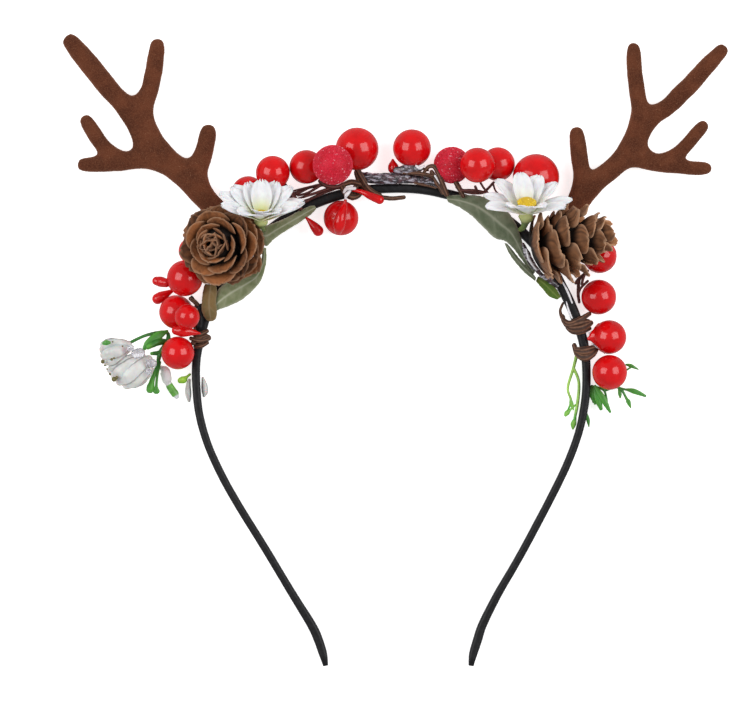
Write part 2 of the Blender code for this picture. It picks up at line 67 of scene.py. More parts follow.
def smooth_path(rows, steps):
    """Catmull-Rom points through the rows (tuples of numbers)."""
    out = []
    last = len(rows) - 1
    for i in range(last):
        p0, p1 = rows[max(i - 1, 0)], rows[i]
        p2, p3 = rows[i + 1], rows[min(i + 2, last)]
        for k in range(steps):
            t = k / steps
            out.append(tuple(
                0.5 * (2 * b + (c - a) * t + (2 * a - 5 * b + 4 * c - d) * t * t
                       + (3 * b - a - 3 * c + d) * t ** 3)
                for a, b, c, d in zip(p0, p1, p2, p3)))
    out.append(tuple(rows[last]))
    return out


def mix(a, b, t):
    return a + (b - a) * t


def soft(t):
    t = max(0.0, min(1.0, t))
    return t * t * (3 - 2 * t)


def ripple(point, scale, seed):
    """Smooth noise from -1 to 1 at a point in metres."""
    return noise.noise(Vector(point) * scale + Vector((seed, seed * 1.7, seed * 0.3)))


def spread(j, cols):
    """From -1 to 1 across a row of cols points."""
    return 2 * j / (cols - 1) - 1


def hill(value, middle, width):
    """1 at the middle, falling to 0 on both sides."""
    return math.exp(-((value - middle) / width) ** 2)


def power(value, exponent):
    """A power that keeps the sign."""
    return math.copysign(abs(value) ** exponent, value)


def times(color, factor):
    return tuple(c * factor for c in color)


def blade_width(v, root, widest, end, bend, least):
    """Share of a blade's full width at v along it: root at first, full at widest, round at its end."""
    if v < widest:
        return mix(root, 1.0, soft(v / widest))
    return math.sqrt(max(1.0 - ((v - widest) / end) ** bend, least))

# Materials


class Paint:
    """A node material on a Principled shader, in object coordinates."""

    def __init__(self, name, rough, **sockets):
        self.mat = bpy.data.materials.new(name)
        self.mat.use_nodes = True
        self.tree = self.mat.node_tree
        self.shader = self.tree.nodes["Principled BSDF"]
        self.shader.inputs["Roughness"].default_value = rough
        for key, value in sockets.items():
            self.shader.inputs[key.replace("_", " ")].default_value = value
        self.coords = self.tree.nodes.new("ShaderNodeTexCoord").outputs["Object"]

    def link(self, out, socket):
        self.tree.links.new(out, socket)

    def noise(self, scale, detail, rough=0.55, stretch=None):
        node = self.tree.nodes.new("ShaderNodeTexNoise")
        node.inputs["Scale"].default_value = scale
        node.inputs["Detail"].default_value = detail
        node.inputs["Roughness"].default_value = rough
        source = self.coords
        if stretch:
            mapping = self.tree.nodes.new("ShaderNodeMapping")
            mapping.inputs["Scale"].default_value = stretch
            self.link(source, mapping.inputs["Vector"])
            source = mapping.outputs["Vector"]
        self.link(source, node.inputs["Vector"])
        return node.outputs["Fac"]

    def cells(self, scale):
        node = self.tree.nodes.new("ShaderNodeTexVoronoi")
        node.inputs["Scale"].default_value = scale
        self.link(self.coords, node.inputs["Vector"])
        return node.outputs["Distance"]

    def mark(self, name):
        node = self.tree.nodes.new("ShaderNodeAttribute")
        node.attribute_name = name
        return node.outputs["Fac"]

    def ramp(self, fac, low, high):
        """0 below low and 1 above high, smooth between."""
        node = self.tree.nodes.new("ShaderNodeMapRange")
        node.interpolation_type = "SMOOTHSTEP"
        node.inputs["From Min"].default_value = low
        node.inputs["From Max"].default_value = high
        self.link(fac, node.inputs["Value"])
        return node.outputs["Result"]

    def math(self, how, a, b):
        node = self.tree.nodes.new("ShaderNodeMath")
        node.operation = how
        for socket, value in zip(node.inputs, (a, b)):
            if isinstance(value, (int, float)):
                socket.default_value = value
            else:
                self.link(value, socket)
        return node.outputs["Value"]

    def blend(self, fac, a, b):
        node = self.tree.nodes.new("ShaderNodeMix")
        node.data_type = "RGBA"
        for socket, value in ((node.inputs[0], fac), (node.inputs[6], a), (node.inputs[7], b)):
            if isinstance(value, tuple):
                socket.default_value = (*value, 1.0)
            elif isinstance(value, (int, float)):
                socket.default_value = value
            else:
                self.link(value, socket)
        return node.outputs[2]

    def color(self, out):
        self.link(out, self.shader.inputs["Base Color"])

    def rough(self, fac, low, high):
        node = self.tree.nodes.new("ShaderNodeMapRange")
        node.inputs["To Min"].default_value = low
        node.inputs["To Max"].default_value = high
        self.link(fac, node.inputs["Value"])
        self.link(node.outputs["Result"], self.shader.inputs["Roughness"])

    def bump(self, height, distance, strength):
        node = self.tree.nodes.new("ShaderNodeBump")
        node.inputs["Distance"].default_value = distance
        node.inputs["Strength"].default_value = strength
        self.link(height, node.inputs["Height"])
        self.link(node.outputs["Normal"], self.shader.inputs["Normal"])

    def patches(self, scale, detail, ends, a, b):
        """Color a with patches of color b; ends are where the noise starts and stops to change."""
        return self.blend(self.ramp(self.noise(scale, detail), *ends), a, b)

    def wash(self, fac, share, base, color):
        """The base with a share of the color over it where fac is 1."""
        return self.blend(self.math("MULTIPLY", fac, share), base, color)

    def weave(self, fine, coarse):
        """Two crossed sets of threads."""
        return self.math("ADD", self.noise(1, 1, 0.5, stretch=(fine, coarse, coarse)),
                         self.noise(1, 1, 0.5, stretch=(coarse, fine, coarse)))


def flock_paint():
    paint = Paint("flock_velvet", 0.95, Sheen_Weight=0.35, Sheen_Roughness=0.45,
                  Sheen_Tint=(0.85, 0.42, 0.25, 1.0), Specular_IOR_Level=0.12)
    base = paint.patches(130, 3, (0.35, 0.68), (0.070, 0.020, 0.010), (0.125, 0.037, 0.017))
    grain = paint.ramp(paint.noise(2600, 2), 0.40, 0.66)
    base = paint.wash(grain, 0.55, base, (0.175, 0.062, 0.030))
    speck = paint.ramp(paint.noise(3900, 1), 0.66, 0.76)
    paint.color(paint.wash(speck, 0.5, base, (0.42, 0.22, 0.13)))
    paint.bump(paint.noise(2900, 2), 0.00022, 0.7)
    return paint.mat


def ribbon_paint():
    paint = Paint("ribbon_satin", 0.42, Sheen_Weight=0.05, Sheen_Roughness=0.35, Specular_IOR_Level=0.30)
    weave = paint.noise(1, 2, 0.5, stretch=(700, 700, 5200))
    base = paint.blend(paint.ramp(weave, 0.35, 0.7), (0.004, 0.004, 0.005), (0.010, 0.010, 0.012))
    # Painted highlight: lighter along the strip's rounded edges, where the edge mark is high
    paint.color(paint.wash(paint.mark("edge"), 0.6, base, (0.020, 0.020, 0.024)))
    paint.rough(paint.noise(220, 3), 0.34, 0.55)
    paint.bump(weave, 0.00006, 0.8)
    return paint.mat


def berry_paint():
    paint = Paint("berry_lacquer", 0.16, Coat_Weight=0.60, Coat_Roughness=0.10, Specular_IOR_Level=0.22)
    red = paint.patches(150, 4, (0.3, 0.75), (0.740, 0.0030, 0.0050), (0.560, 0.0022, 0.004))
    fleck = paint.ramp(paint.noise(1500, 2), 0.68, 0.80)
    paint.color(paint.wash(fleck, 0.30, red, (0.80, 0.10, 0.09)))
    paint.rough(paint.noise(420, 3), 0.10, 0.26)
    paint.bump(paint.noise(320, 3), 0.00012, 0.35)
    return paint.mat


def frosted_paint():
    """Red under sugar grains, of which the brightest are painted pale pink as glints."""
    paint = Paint("berry_sugar", 0.60, Coat_Weight=0.10, Coat_Roughness=0.2,
                  Sheen_Weight=0.04, Sheen_Roughness=0.5, Specular_IOR_Level=0.25)
    base = paint.patches(260, 3, (0.32, 0.7), (0.56, 0.004, 0.018), (0.70, 0.008, 0.036))
    grain = paint.patches(1700, 2, (0.35, 0.7), (0.60, 0.008, 0.028), (0.82, 0.05, 0.10))
    color = paint.blend(paint.mark("grain"), base, grain)
    # Painted glints: the brightest grains turn pale pink
    paint.color(paint.blend(paint.ramp(paint.mark("tone"), 0.92, 1.0), color, (0.92, 0.40, 0.47)))
    paint.bump(paint.cells(1500), 0.00020, 0.8)
    return paint.mat


def scale_paint(name, face, dark, light, rim):
    """Inner faces, outer faces from a dark to a light scale, the rim, and painted shade that turns the scales
    near-black towards their roots.
    """
    paint = Paint(name, 0.72, Specular_IOR_Level=0.35)
    outer = paint.blend(paint.mark("tone"), dark, light)
    base = paint.blend(paint.mark("back"), face, outer)
    base = paint.wash(paint.ramp(paint.mark("streak"), 0.2, 0.8), 0.30, base, times(light, 1.35))
    base = paint.wash(paint.ramp(paint.noise(420, 4), 0.46, 0.74), 0.45, base, times(dark, 0.55))
    base = paint.wash(paint.mark("edge"), 0.85, base, rim)
    # Painted shade: near-black towards each scale's root and on the core
    paint.color(paint.blend(paint.mark("deep"), base, (0.008, 0.005, 0.004)))
    paint.rough(paint.noise(900, 3), 0.62, 0.9)
    paint.bump(paint.noise(1500, 4), 0.00018, 0.6)
    return paint.mat


def petal_paint():
    paint = Paint("daisy_cloth", 0.78, Sheen_Weight=0.2, Sheen_Roughness=0.5,
                  Subsurface_Weight=0.12, Subsurface_Scale=0.002)
    base = paint.patches(330, 3, (0.35, 0.72), (0.86, 0.86, 0.87), (0.76, 0.76, 0.79))
    # Painted shade: lilac grey in stripes along each petal, stronger towards its base
    base = paint.blend(paint.ramp(paint.mark("painted_lilac_shade"), 0.0, 1.0), base, (0.66, 0.64, 0.73))
    paint.color(paint.blend(paint.mark("green"), base, (0.66, 0.68, 0.24)))
    paint.bump(paint.weave(5200, 900), 0.00006, 0.55)
    return paint.mat


def leaf_paint(name, main, second, pale):
    paint = Paint(name, 0.80, Sheen_Weight=0.2, Sheen_Roughness=0.5, Specular_IOR_Level=0.3)
    base = paint.patches(240, 4, (0.36, 0.68), main, second)
    thread = paint.ramp(paint.noise(1, 1, 0.5, stretch=(4200, 1000, 1000)), 0.4, 0.7)
    base = paint.wash(thread, 0.25, base, times(main, 1.35))
    base = paint.blend(paint.mark("vein"), base, pale)
    paint.color(paint.blend(paint.mark("edge"), base, pale))
    paint.bump(paint.weave(5200, 1100), 0.00010, 0.7)
    return paint.mat


def vine_paint(name, dark, light):
    paint = Paint(name, 0.66, Specular_IOR_Level=0.4)
    # Painted shade in the grooves and painted light on the ridges of the twisted paper
    base = paint.blend(paint.ramp(paint.mark("ridge"), 0.25, 0.9), dark, light)
    patch = paint.ramp(paint.noise(520, 4), 0.45, 0.72)
    paint.color(paint.wash(patch, 0.55, base, times(dark, 0.45)))
    paint.rough(paint.noise(700, 3), 0.45, 0.8)
    paint.bump(paint.noise(1800, 4), 0.00012, 0.7)
    return paint.mat


def green_paint(name, main, tip, rough=0.5):
    paint = Paint(name, rough, Coat_Weight=0.15, Coat_Roughness=0.2,
                  Subsurface_Weight=0.1, Subsurface_Scale=0.001)
    base = paint.patches(380, 3, (0.35, 0.7), main, times(main, 0.72))
    paint.color(paint.blend(paint.mark("tip"), base, tip))
    paint.bump(paint.noise(900, 3), 0.00008, 0.5)
    return paint.mat


def bell_paint():
    """White with painted grey shade along the folds, and faint brown stains."""
    paint = Paint("bell_petal", 0.38, Coat_Weight=0.25, Coat_Roughness=0.15,
                  Subsurface_Weight=0.25, Subsurface_Scale=0.0015)
    base = paint.patches(210, 4, (0.34, 0.7), (0.72, 0.72, 0.70), (0.56, 0.56, 0.55))
    # Painted shade: grey along the pleats' folds
    base = paint.blend(paint.mark("fold"), base, (0.15, 0.15, 0.15))
    stain = paint.ramp(paint.noise(170, 2), 0.64, 0.78)
    paint.color(paint.wash(stain, 0.5, base, (0.50, 0.46, 0.37)))
    paint.bump(paint.noise(600, 3), 0.00015, 0.5)
    return paint.mat


def bud_paint():
    """White cloth that turns green past its middle, with a white tip."""
    paint = Paint("bell_bud_cloth", 0.4, Coat_Weight=0.3, Coat_Roughness=0.15)
    white = paint.patches(300, 3, (0.35, 0.7), (0.82, 0.79, 0.80), (0.68, 0.65, 0.67))
    green = paint.patches(500, 3, (0.35, 0.7), (0.13, 0.42, 0.05), (0.08, 0.27, 0.03))
    base = paint.blend(paint.ramp(paint.mark("along"), 0.54, 0.58), white, green)
    paint.color(paint.blend(paint.ramp(paint.mark("along"), 0.86, 0.96), base, (0.70, 0.72, 0.74)))
    paint.bump(paint.noise(800, 3), 0.00010, 0.5)
    return paint.mat


def grain_paint():
    paint = Paint("disc_pollen", 0.75)
    base = paint.blend(paint.mark("tone"), (0.86, 0.62, 0.02), (0.62, 0.40, 0.012))
    paint.color(paint.patches(1400, 2, (0.55, 0.75), base, (0.92, 0.80, 0.22)))
    paint.bump(paint.noise(3000, 2), 0.00008, 0.6)
    return paint.mat


def glue_paint():
    paint = Paint("hot_glue", 0.12, Transmission_Weight=0.72, IOR=1.42, Coat_Weight=0.5)
    paint.color(paint.patches(700, 3, (0.4, 0.7), (0.86, 0.86, 0.90), (0.70, 0.68, 0.76)))
    paint.rough(paint.noise(900, 3), 0.06, 0.25)
    paint.bump(paint.noise(900, 3), 0.00020, 0.6)
    return paint.mat


def white_paint():
    paint = Paint("dry_glue", 0.3, Coat_Weight=0.3)
    paint.color(paint.patches(900, 3, (0.4, 0.7), (0.82, 0.82, 0.84), (0.60, 0.59, 0.64)))
    paint.bump(paint.noise(1100, 3), 0.00015, 0.6)
    return paint.mat


def strip_paint():
    """Dark wire under a clear lumpy coat of glue, with glints painted on as pale streaks."""
    paint = Paint("glue_strip", 0.15, Coat_Weight=0.6, Coat_Roughness=0.06)
    glint = paint.ramp(paint.noise(1, 3, 0.6, stretch=(420, 1300, 600)), 0.50, 0.62)
    base = paint.patches(500, 3, (0.4, 0.7), (0.020, 0.018, 0.022), (0.10, 0.045, 0.055))
    paint.color(paint.wash(glint, 0.75, base, (0.55, 0.53, 0.62)))
    paint.bump(paint.noise(700, 4), 0.00040, 0.9)
    return paint.mat


FLOCK = flock_paint()
RIBBON = ribbon_paint()
BERRY = berry_paint()
SUGAR = frosted_paint()
SCALE_LEFT = scale_paint("cone_scale_left", (0.058, 0.025, 0.013), (0.052, 0.023, 0.012),
                         (0.330, 0.115, 0.036), (0.38, 0.21, 0.12))
SCALE_RIGHT = scale_paint("cone_scale_right", (0.095, 0.040, 0.018), (0.270, 0.118, 0.050),
                          (0.500, 0.210, 0.080), (0.60, 0.37, 0.23))
PETAL = petal_paint()
LEAF_LEFT = leaf_paint("leaf_cloth_left", (0.165, 0.195, 0.090), (0.260, 0.280, 0.165), (0.52, 0.54, 0.40))
LEAF_RIGHT = leaf_paint("leaf_cloth_right", (0.112, 0.142, 0.080), (0.185, 0.208, 0.135), (0.42, 0.44, 0.33))
LEAF_TAN = leaf_paint("leaf_cloth_tan", (0.205, 0.130, 0.048), (0.165, 0.125, 0.045), (0.30, 0.23, 0.13))
LEAF_BRIGHT = leaf_paint("leaf_cloth_bright", (0.070, 0.145, 0.014), (0.105, 0.120, 0.018),
                         (0.20, 0.27, 0.06))
VINE = vine_paint("vine_paper", (0.055, 0.024, 0.015), (0.200, 0.092, 0.050))
STEM_RED = vine_paint("stem_paper_red", (0.060, 0.010, 0.010), (0.150, 0.045, 0.035))
GREEN = green_paint("sprig_green", (0.036, 0.220, 0.026), (0.09, 0.38, 0.035))
GREEN_LIGHT = green_paint("sprig_light", (0.39, 0.70, 0.12), (0.07, 0.40, 0.03))
CALYX = green_paint("calyx_cloth", (0.13, 0.19, 0.035), (0.50, 0.54, 0.22), 0.75)
BELL = bell_paint()
BUD = bud_paint()
LIME = green_paint("bud_lime", (0.33, 0.64, 0.045), (0.24, 0.50, 0.05))
STAMEN = green_paint("stamen_olive", (0.105, 0.095, 0.026), (0.20, 0.17, 0.05))
POLLEN = grain_paint()
GLUE = glue_paint()
GLUE_WHITE = white_paint()
GLUE_STRIP = strip_paint()


# Mesh building


class Bag:
    """Collects closed meshes with named marks on their points."""

    def __init__(self, *marks):
        self.verts = []
        self.faces = []
        self.marks = {name: [] for name in marks}

    def point(self, co, **values):
        self.verts.append(tuple(co))
        for name, row in self.marks.items():
            row.append(values.get(name, 0.0))

    def object(self, name, material, replaced=(), smooth=True):
        mesh = bpy.data.meshes.new(name)
        mesh.from_pydata(self.verts, [], self.faces)
        for mark, values in self.marks.items():
            layer = mesh.attributes.new(mark, "FLOAT", "POINT")
            layer.data.foreach_set("value", values)
        bm = bmesh.new()
        bm.from_mesh(mesh)
        bmesh.ops.recalc_face_normals(bm, faces=bm.faces)
        bm.to_mesh(mesh)
        bm.free()
        if smooth:
            mesh.shade_smooth()
        mesh.materials.append(material)
        obj = bpy.data.objects.new(name, mesh)
        bpy.context.scene.collection.objects.link(obj)
        dress(obj, replaced)


def dress(obj, replaced):
    """Puts a piece on the frame, in place of the replaced nodes."""
    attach(obj, "root")
    if replaced:
        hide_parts(*replaced)


def slab(bag, grid, half, marks):
    """A closed plate through a grid of points; half(i, j) is half its thickness."""
    rows, cols = len(grid), len(grid[0])

    def normal(i, j):
        along = grid[min(i + 1, rows - 1)][j] - grid[max(i - 1, 0)][j]
        across = grid[i][min(j + 1, cols - 1)] - grid[i][max(j - 1, 0)]
        out = along.cross(across)
        return out.normalized() if out.length > 1e-14 else Vector((0, 0, 1))

    start = len(bag.verts)
    for side in (1, -1):
        for i in range(rows):
            for j in range(cols):
                bag.point(grid[i][j] + normal(i, j) * (half(i, j) * side), **marks(i, j, side))

    def top(i, j):
        return start + i * cols + j

    def low(i, j):
        return top(i, j) + rows * cols

    end, last = rows - 1, cols - 1
    for i in range(end):
        for j in range(last):
            bag.faces.append((top(i, j), top(i, j + 1), top(i + 1, j + 1), top(i + 1, j)))
            bag.faces.append((low(i, j), low(i + 1, j), low(i + 1, j + 1), low(i, j + 1)))
    for j in range(last):
        bag.faces.append((top(0, j), low(0, j), low(0, j + 1), top(0, j + 1)))
        bag.faces.append((top(end, j), top(end, j + 1), low(end, j + 1), low(end, j)))
    for i in range(end):
        bag.faces.append((top(i, 0), top(i + 1, 0), low(i + 1, 0), low(i, 0)))
        bag.faces.append((top(i, last), low(i, last), low(i + 1, last), top(i + 1, last)))


# Frequency of the dents along a pipe
DENTS = 900


def pipe(bag, path, radii, sides, ridge=0.0, lobes=5, twist=0.0, seed=0.0, rough=0.0,
         flat=1.0, caps=3, marks=None):
    """A closed round wire along path, with caps rows of points in each round end.

    ridge is the depth of its lengthwise grooves, rough that of its dents, and flat squeezes it.
    """
    path = [Vector(p) for p in path]
    tangents = []
    for i, _ in enumerate(path):
        run = path[min(i + 1, len(path) - 1)] - path[max(i - 1, 0)]
        tangents.append(run.normalized())
    side = tangents[0].cross(Vector((0, 0, 1)))
    if side.length < 0.1:
        side = tangents[0].cross(Vector((0, 1, 0)))
    side.normalize()
    stations = []
    for k in range(caps, 0, -1):
        bend = math.pi / 2 * k / (caps + 1)
        stations.append((0, -math.sin(bend), math.cos(bend)))
    stations += [(i, 0.0, 1.0) for i in range(len(path))]
    for k in range(1, caps + 1):
        bend = math.pi / 2 * k / (caps + 1)
        stations.append((len(path) - 1, math.sin(bend), math.cos(bend)))
    start = len(bag.verts)
    travelled = 0.0
    before = 0
    for i, push, shrink in stations:
        travelled += (path[i] - path[before]).length
        before = i
        tangent = tangents[i]
        side = (side - tangent * side.dot(tangent)).normalized()
        other = tangent.cross(side)
        centre = path[i] + tangent * (push * radii[i])
        for j in range(sides):
            angle = 2 * math.pi * j / sides
            wave = math.cos(lobes * angle + twist * travelled)
            r = radii[i] * shrink * (1.0 + ridge * wave)
            c, s = math.cos(angle), math.sin(angle)
            if rough:
                r *= 1.0 + rough * ripple(centre * DENTS + Vector((c, s, 0)), 1.0, seed)
            co = centre + side * (c * r) + other * (s * r * flat)
            values = marks(i / max(len(path) - 1, 1), angle) if marks else {}
            # The ridge mark, 1 on the ridges and 0 in the grooves, carries painted shade and light for the
            # paper wires
            values.setdefault("ridge", 0.5 + 0.5 * wave)
            bag.point(co, **{k: v for k, v in values.items() if k in bag.marks})
    rings = len(stations)
    for a in range(rings - 1):
        for j in range(sides):
            k = (j + 1) % sides
            bag.faces.append((start + a * sides + j, start + a * sides + k,
                              start + (a + 1) * sides + k, start + (a + 1) * sides + j))
    for ring, order in ((0, -1), (rings - 1, 1)):
        bag.faces.append([start + ring * sides + j for j in range(sides)][::order])


def tube(bag, rows, steps, **look):
    """A pipe through rows of x, y, height and width, with so many steps from row to row."""
    path = smooth_path(rows, steps)
    pipe(bag, [at(x, y, z) for x, y, z, _ in path], [w / 2 * UNIT for *_, w in path], **look)


def ball(bag, centre, radius, segments, rings, shape=None, basis=None, **values):
    """A closed round body; shape(n) scales the radius in the direction n."""
    start = len(bag.verts)

    def put(n):
        r = radius * (shape(n) if shape else 1.0)
        local = n * r
        bag.point(centre + (basis @ local if basis else local), **values)

    put(Vector((0, 0, -1)))
    for i in range(1, rings):
        lift = math.pi * i / rings - math.pi / 2
        for j in range(segments):
            angle = 2 * math.pi * j / segments
            ring = math.cos(lift)
            put(Vector((ring * math.cos(angle), ring * math.sin(angle), math.sin(lift))))
    put(Vector((0, 0, 1)))

    def index(i, j):
        return start + 1 + (i - 1) * segments + j % segments

    last = len(bag.verts) - 1
    for j in range(segments):
        bag.faces.append((start, index(1, j + 1), index(1, j)))
        bag.faces.append((last, index(rings - 1, j), index(rings - 1, j + 1)))
        for i in range(1, rings - 1):
            bag.faces.append((index(i, j), index(i, j + 1), index(i + 1, j + 1), index(i + 1, j)))


def chains(rows):
    """Splits a tree of labelled rows into lines from a branching to a tip."""
    by_label = {row[0]: row for row in rows}
    children = {}
    for row in rows:
        children.setdefault(row[1], []).append(row[0])
    out = []

    def walk(label, line):
        line = line + [by_label[label]]
        kids = children.get(label, [])
        if not kids:
            out.append(line)
            return
        walk(kids[0], line)
        for kid in kids[1:]:
            walk(kid, [by_label[label]])

    walk(children[None][0], [])
    return out


# Headband

HOOP = [
    (325.5, 666.5, 5.0), (323, 655, 8.2), (318, 640, 9.2), (311, 625, 9.0),
    (292.5, 595, 8.0), (265.5, 550, 7.8), (238, 505.5, 7.8), (221, 475, 7.8),
    (207.5, 445, 7.8), (199, 415, 8.0), (195.8, 385, 8.2), (196, 360, 8.4),
    (200, 338, 8.8), (207, 313, 9.4), (222, 284, 10.0), (240, 259, 10.0),
    (262, 236, 10.0), (286, 218, 10.5), (308, 206, 10.5), (331, 197, 10.5),
    (358, 190.5, 10), (390, 188, 9.0), (420, 189, 9.0), (446, 193.5, 10),
    (472, 201, 10.0), (500, 214, 10.0), (529, 238, 10.0), (550, 264, 10.0),
    (563, 288, 10.5), (573, 309, 10.5), (580, 328, 10.0), (585, 348, 9.2),
    (587, 372, 8.4), (585.8, 400, 8.2), (580, 430, 7.8), (569.5, 460, 7.8),
    (555.5, 490, 7.8), (532, 535, 7.8), (515.5, 565, 7.8), (498, 595, 8.2),
    (483, 625, 8.8), (478, 640, 9.2), (473.3, 655, 8.2), (471.3, 666.5, 5.2),
]
HOOP_DEPTH = 6.0
HOOP_SIDES = 28
# The last rows are squeezed down to this share of the depth
TIP_ROWS = 6
TIP_SQUEEZE = 0.62
# Powers under 1 make the section squarer than an ellipse
SQUARE_ACROSS = 0.55
SQUARE_UP = 0.42
BROAD_WRINKLE = 0.022
FINE_WRINKLE = 0.012


def headband():
    """A ribbon-covered strip with rounded edges and a smooth flat back."""
    path = smooth_path(HOOP, steps=8)
    bag = Bag("edge")
    last = len(path) - 1
    for i, (x, y, width) in enumerate(path):
        ahead, behind = path[min(i + 1, last)], path[max(i - 1, 0)]
        run = Vector((ahead[0] - behind[0], behind[1] - ahead[1], 0)).normalized()
        side = Vector((run.y, -run.x, 0))
        near_end = min(i, last - i, TIP_ROWS)
        squeeze = mix(TIP_SQUEEZE, 1.0, math.sqrt(near_end / TIP_ROWS))
        for j in range(HOOP_SIDES):
            angle = 2 * math.pi * j / HOOP_SIDES
            rise = math.sin(angle)
            across = power(math.cos(angle), SQUARE_ACROSS)
            wrinkle = BROAD_WRINKLE * ripple((x * 0.11, y * 0.11, j * 0.2), 1.0, 4.0)
            wrinkle += FINE_WRINKLE * ripple((x * 0.5, y * 0.5, j * 0.3), 1.0, 9.0)
            reach = across * width / 2 * (1.0 + (wrinkle if rise > -0.6 else 0.0))
            height = HOOP_DEPTH * (0.5 + 0.5 * power(rise, SQUARE_UP) * squeeze)
            # Painted highlight on the rounded edges, strongest on the upper side
            edge = hill(abs(across), 0.88, 0.10) * (1.0 if rise > 0 else 0.2)
            bag.point(at(x, y, height) + side * (reach * UNIT), edge=edge)
    for i in range(last):
        for j in range(HOOP_SIDES):
            k = (j + 1) % HOOP_SIDES
            here, ahead = i * HOOP_SIDES, (i + 1) * HOOP_SIDES
            bag.faces.append((here + j, here + k, ahead + k, ahead + j))
    bag.faces.append(list(range(HOOP_SIDES)))
    bag.faces.append([last * HOOP_SIDES + j for j in range(HOOP_SIDES)])
    bag.object("hoop_ribbon", RIBBON, ["headband"])


headband()

# Antlers

ANTLER_LEFT = [
    ("foot", None, 247.3, 242.6, 20), ("trunk", "foot", 203, 197, 24),
    ("j1", "trunk", 192, 180, 24), ("beam", "j1", 172, 168, 21),
    ("j2", "beam", 153, 154, 23), ("up", "j2", 146, 134, 25),
    ("j3", "up", 137, 114, 24), ("l1", "j3", 119, 102, 19),
    ("l2", "l1", 100, 77.5, 20), ("l3", "l2", 80, 53, 19),
    ("l4", "l3", 69, 40, 16), ("l5", "l4", 64.8, 35.5, 10),
    ("t1", "j3", 149, 92, 17), ("t2", "t1", 154, 68, 17),
    ("t3", "t2", 157, 45, 15), ("t4", "t3", 157, 37.5, 9),
    ("b1", "j1", 203, 156, 18), ("b2", "b1", 208, 132, 17),
    ("b3", "b2", 209, 123.5, 10), ("k0", "j2", 130, 162, 18),
    ("j4", "k0", 112, 160, 21), ("m1", "j4", 98, 140, 15),
    ("m2", "m1", 86, 121, 14), ("m3", "m2", 82.5, 115, 8),
    ("n1", "j4", 97, 165, 17), ("n2", "n1", 83, 164.5, 14),
    ("n3", "n2", 76.8, 164, 9),
]
ANTLER_RIGHT = [
    ("foot", None, 545, 248.5, 20), ("trunk", "foot", 578, 203, 24),
    ("j1", "trunk", 588, 186, 23), ("beam", "j1", 611, 170, 20),
    ("j2", "beam", 629, 153, 22), ("up", "j2", 637, 134, 22),
    ("j3", "up", 645, 117, 22), ("l1", "j3", 667, 108, 17),
    ("l2", "l1", 690, 85, 18), ("l3", "l2", 712, 61, 16),
    ("l4", "l3", 723, 49, 13), ("l5", "l4", 726.5, 45, 8),
    ("t1", "j3", 638, 94, 16), ("t2", "t1", 635, 72, 15),
    ("t3", "t2", 634, 49, 14), ("t4", "t3", 634, 41.5, 8),
    ("b1", "j1", 580, 160, 17), ("b2", "b1", 577, 134, 15.5),
    ("b3", "b2", 576.5, 126, 9), ("k0", "j2", 651, 164, 18),
    ("j4", "k0", 671, 163, 19), ("m1", "j4", 687, 145, 13),
    ("m2", "m1", 703, 126, 13), ("m3", "m2", 707.5, 121.5, 7),
    ("n1", "j4", 687, 168, 14), ("n2", "n1", 706, 168, 13),
    ("n3", "n2", 713, 168, 8),
]
ANTLER_FLATTEN = 0.85
ANTLER_MID = 4.35
SKIN_FIT = 1.12
SKIN_LEVELS = 3
FLOCK_GRAIN = 0.00046
# Height and frequency of the flock's fuzz and of broad dents
FUZZ = ((0.00010, 2600), (0.00016, 240))


def baked(obj):
    """The object's mesh with its modifiers applied."""
    depsgraph = bpy.context.evaluated_depsgraph_get()
    mesh = bpy.data.meshes.new_from_object(obj.evaluated_get(depsgraph))
    obj.modifiers.clear()
    obj.data = mesh
    return mesh


def antler(name, rows, node, seed):
    """A skin over the branches, remeshed into one piece, flattened and roughened like flock."""
    mesh = bpy.data.meshes.new(name)
    index = {}
    points = []
    edges = []
    for label, parent, x, y, _ in rows:
        index[label] = len(points)
        points.append(at(x, y, 0.0))
        if parent:
            edges.append((index[parent], index[label]))
    mesh.from_pydata(points, edges, [])
    obj = bpy.data.objects.new(name, mesh)
    bpy.context.scene.collection.objects.link(obj)
    skin = obj.modifiers.new("Skin", "SKIN")
    skin.branch_smoothing = 0.6
    skin.use_x_symmetry = False
    for vertex, row in zip(mesh.skin_vertices[0].data, rows):
        radius = row[4] * UNIT / 2 * SKIN_FIT
        vertex.radius = (radius, radius)
    mesh.skin_vertices[0].data[0].use_root = True
    smoother = obj.modifiers.new("Subdivision", "SUBSURF")
    smoother.levels = smoother.render_levels = SKIN_LEVELS
    baked(obj)
    remesh = obj.modifiers.new("Remesh", "REMESH")
    remesh.mode = "VOXEL"
    remesh.voxel_size = FLOCK_GRAIN
    mesh = baked(obj)
    normals = [vertex.normal.copy() for vertex in mesh.vertices]
    for vertex, out in zip(mesh.vertices, normals):
        fuzz = sum(height * ripple(vertex.co, often, seed) for height, often in FUZZ)
        co = vertex.co + out * fuzz
        vertex.co = (co.x, co.y, co.z * ANTLER_FLATTEN + ANTLER_MID * MM)
    mesh.shade_smooth()
    mesh.materials.clear()
    mesh.materials.append(FLOCK)
    dress(obj, [node])


antler("antler_left_flock", ANTLER_LEFT, "antler_left", 3.1)
antler("antler_right_flock", ANTLER_RIGHT, "antler_right", 8.3)


# Pine cones

SCALE_ROWS = 17
SCALE_COLS = 17
SCALE_HALF_THICKNESS = 0.00042
# Height in metres of a scale's lengthwise ridges and of its broad warps
SCALE_RIDGE = 0.00012
SCALE_WARP = 0.00032
# Shares of a scale's length: how far its middle bulges and its end curls
SCALE_BULGE = 0.18
SCALE_CURL = 0.12
# Share of its half width by which its sides drop
SCALE_CUP = 0.30
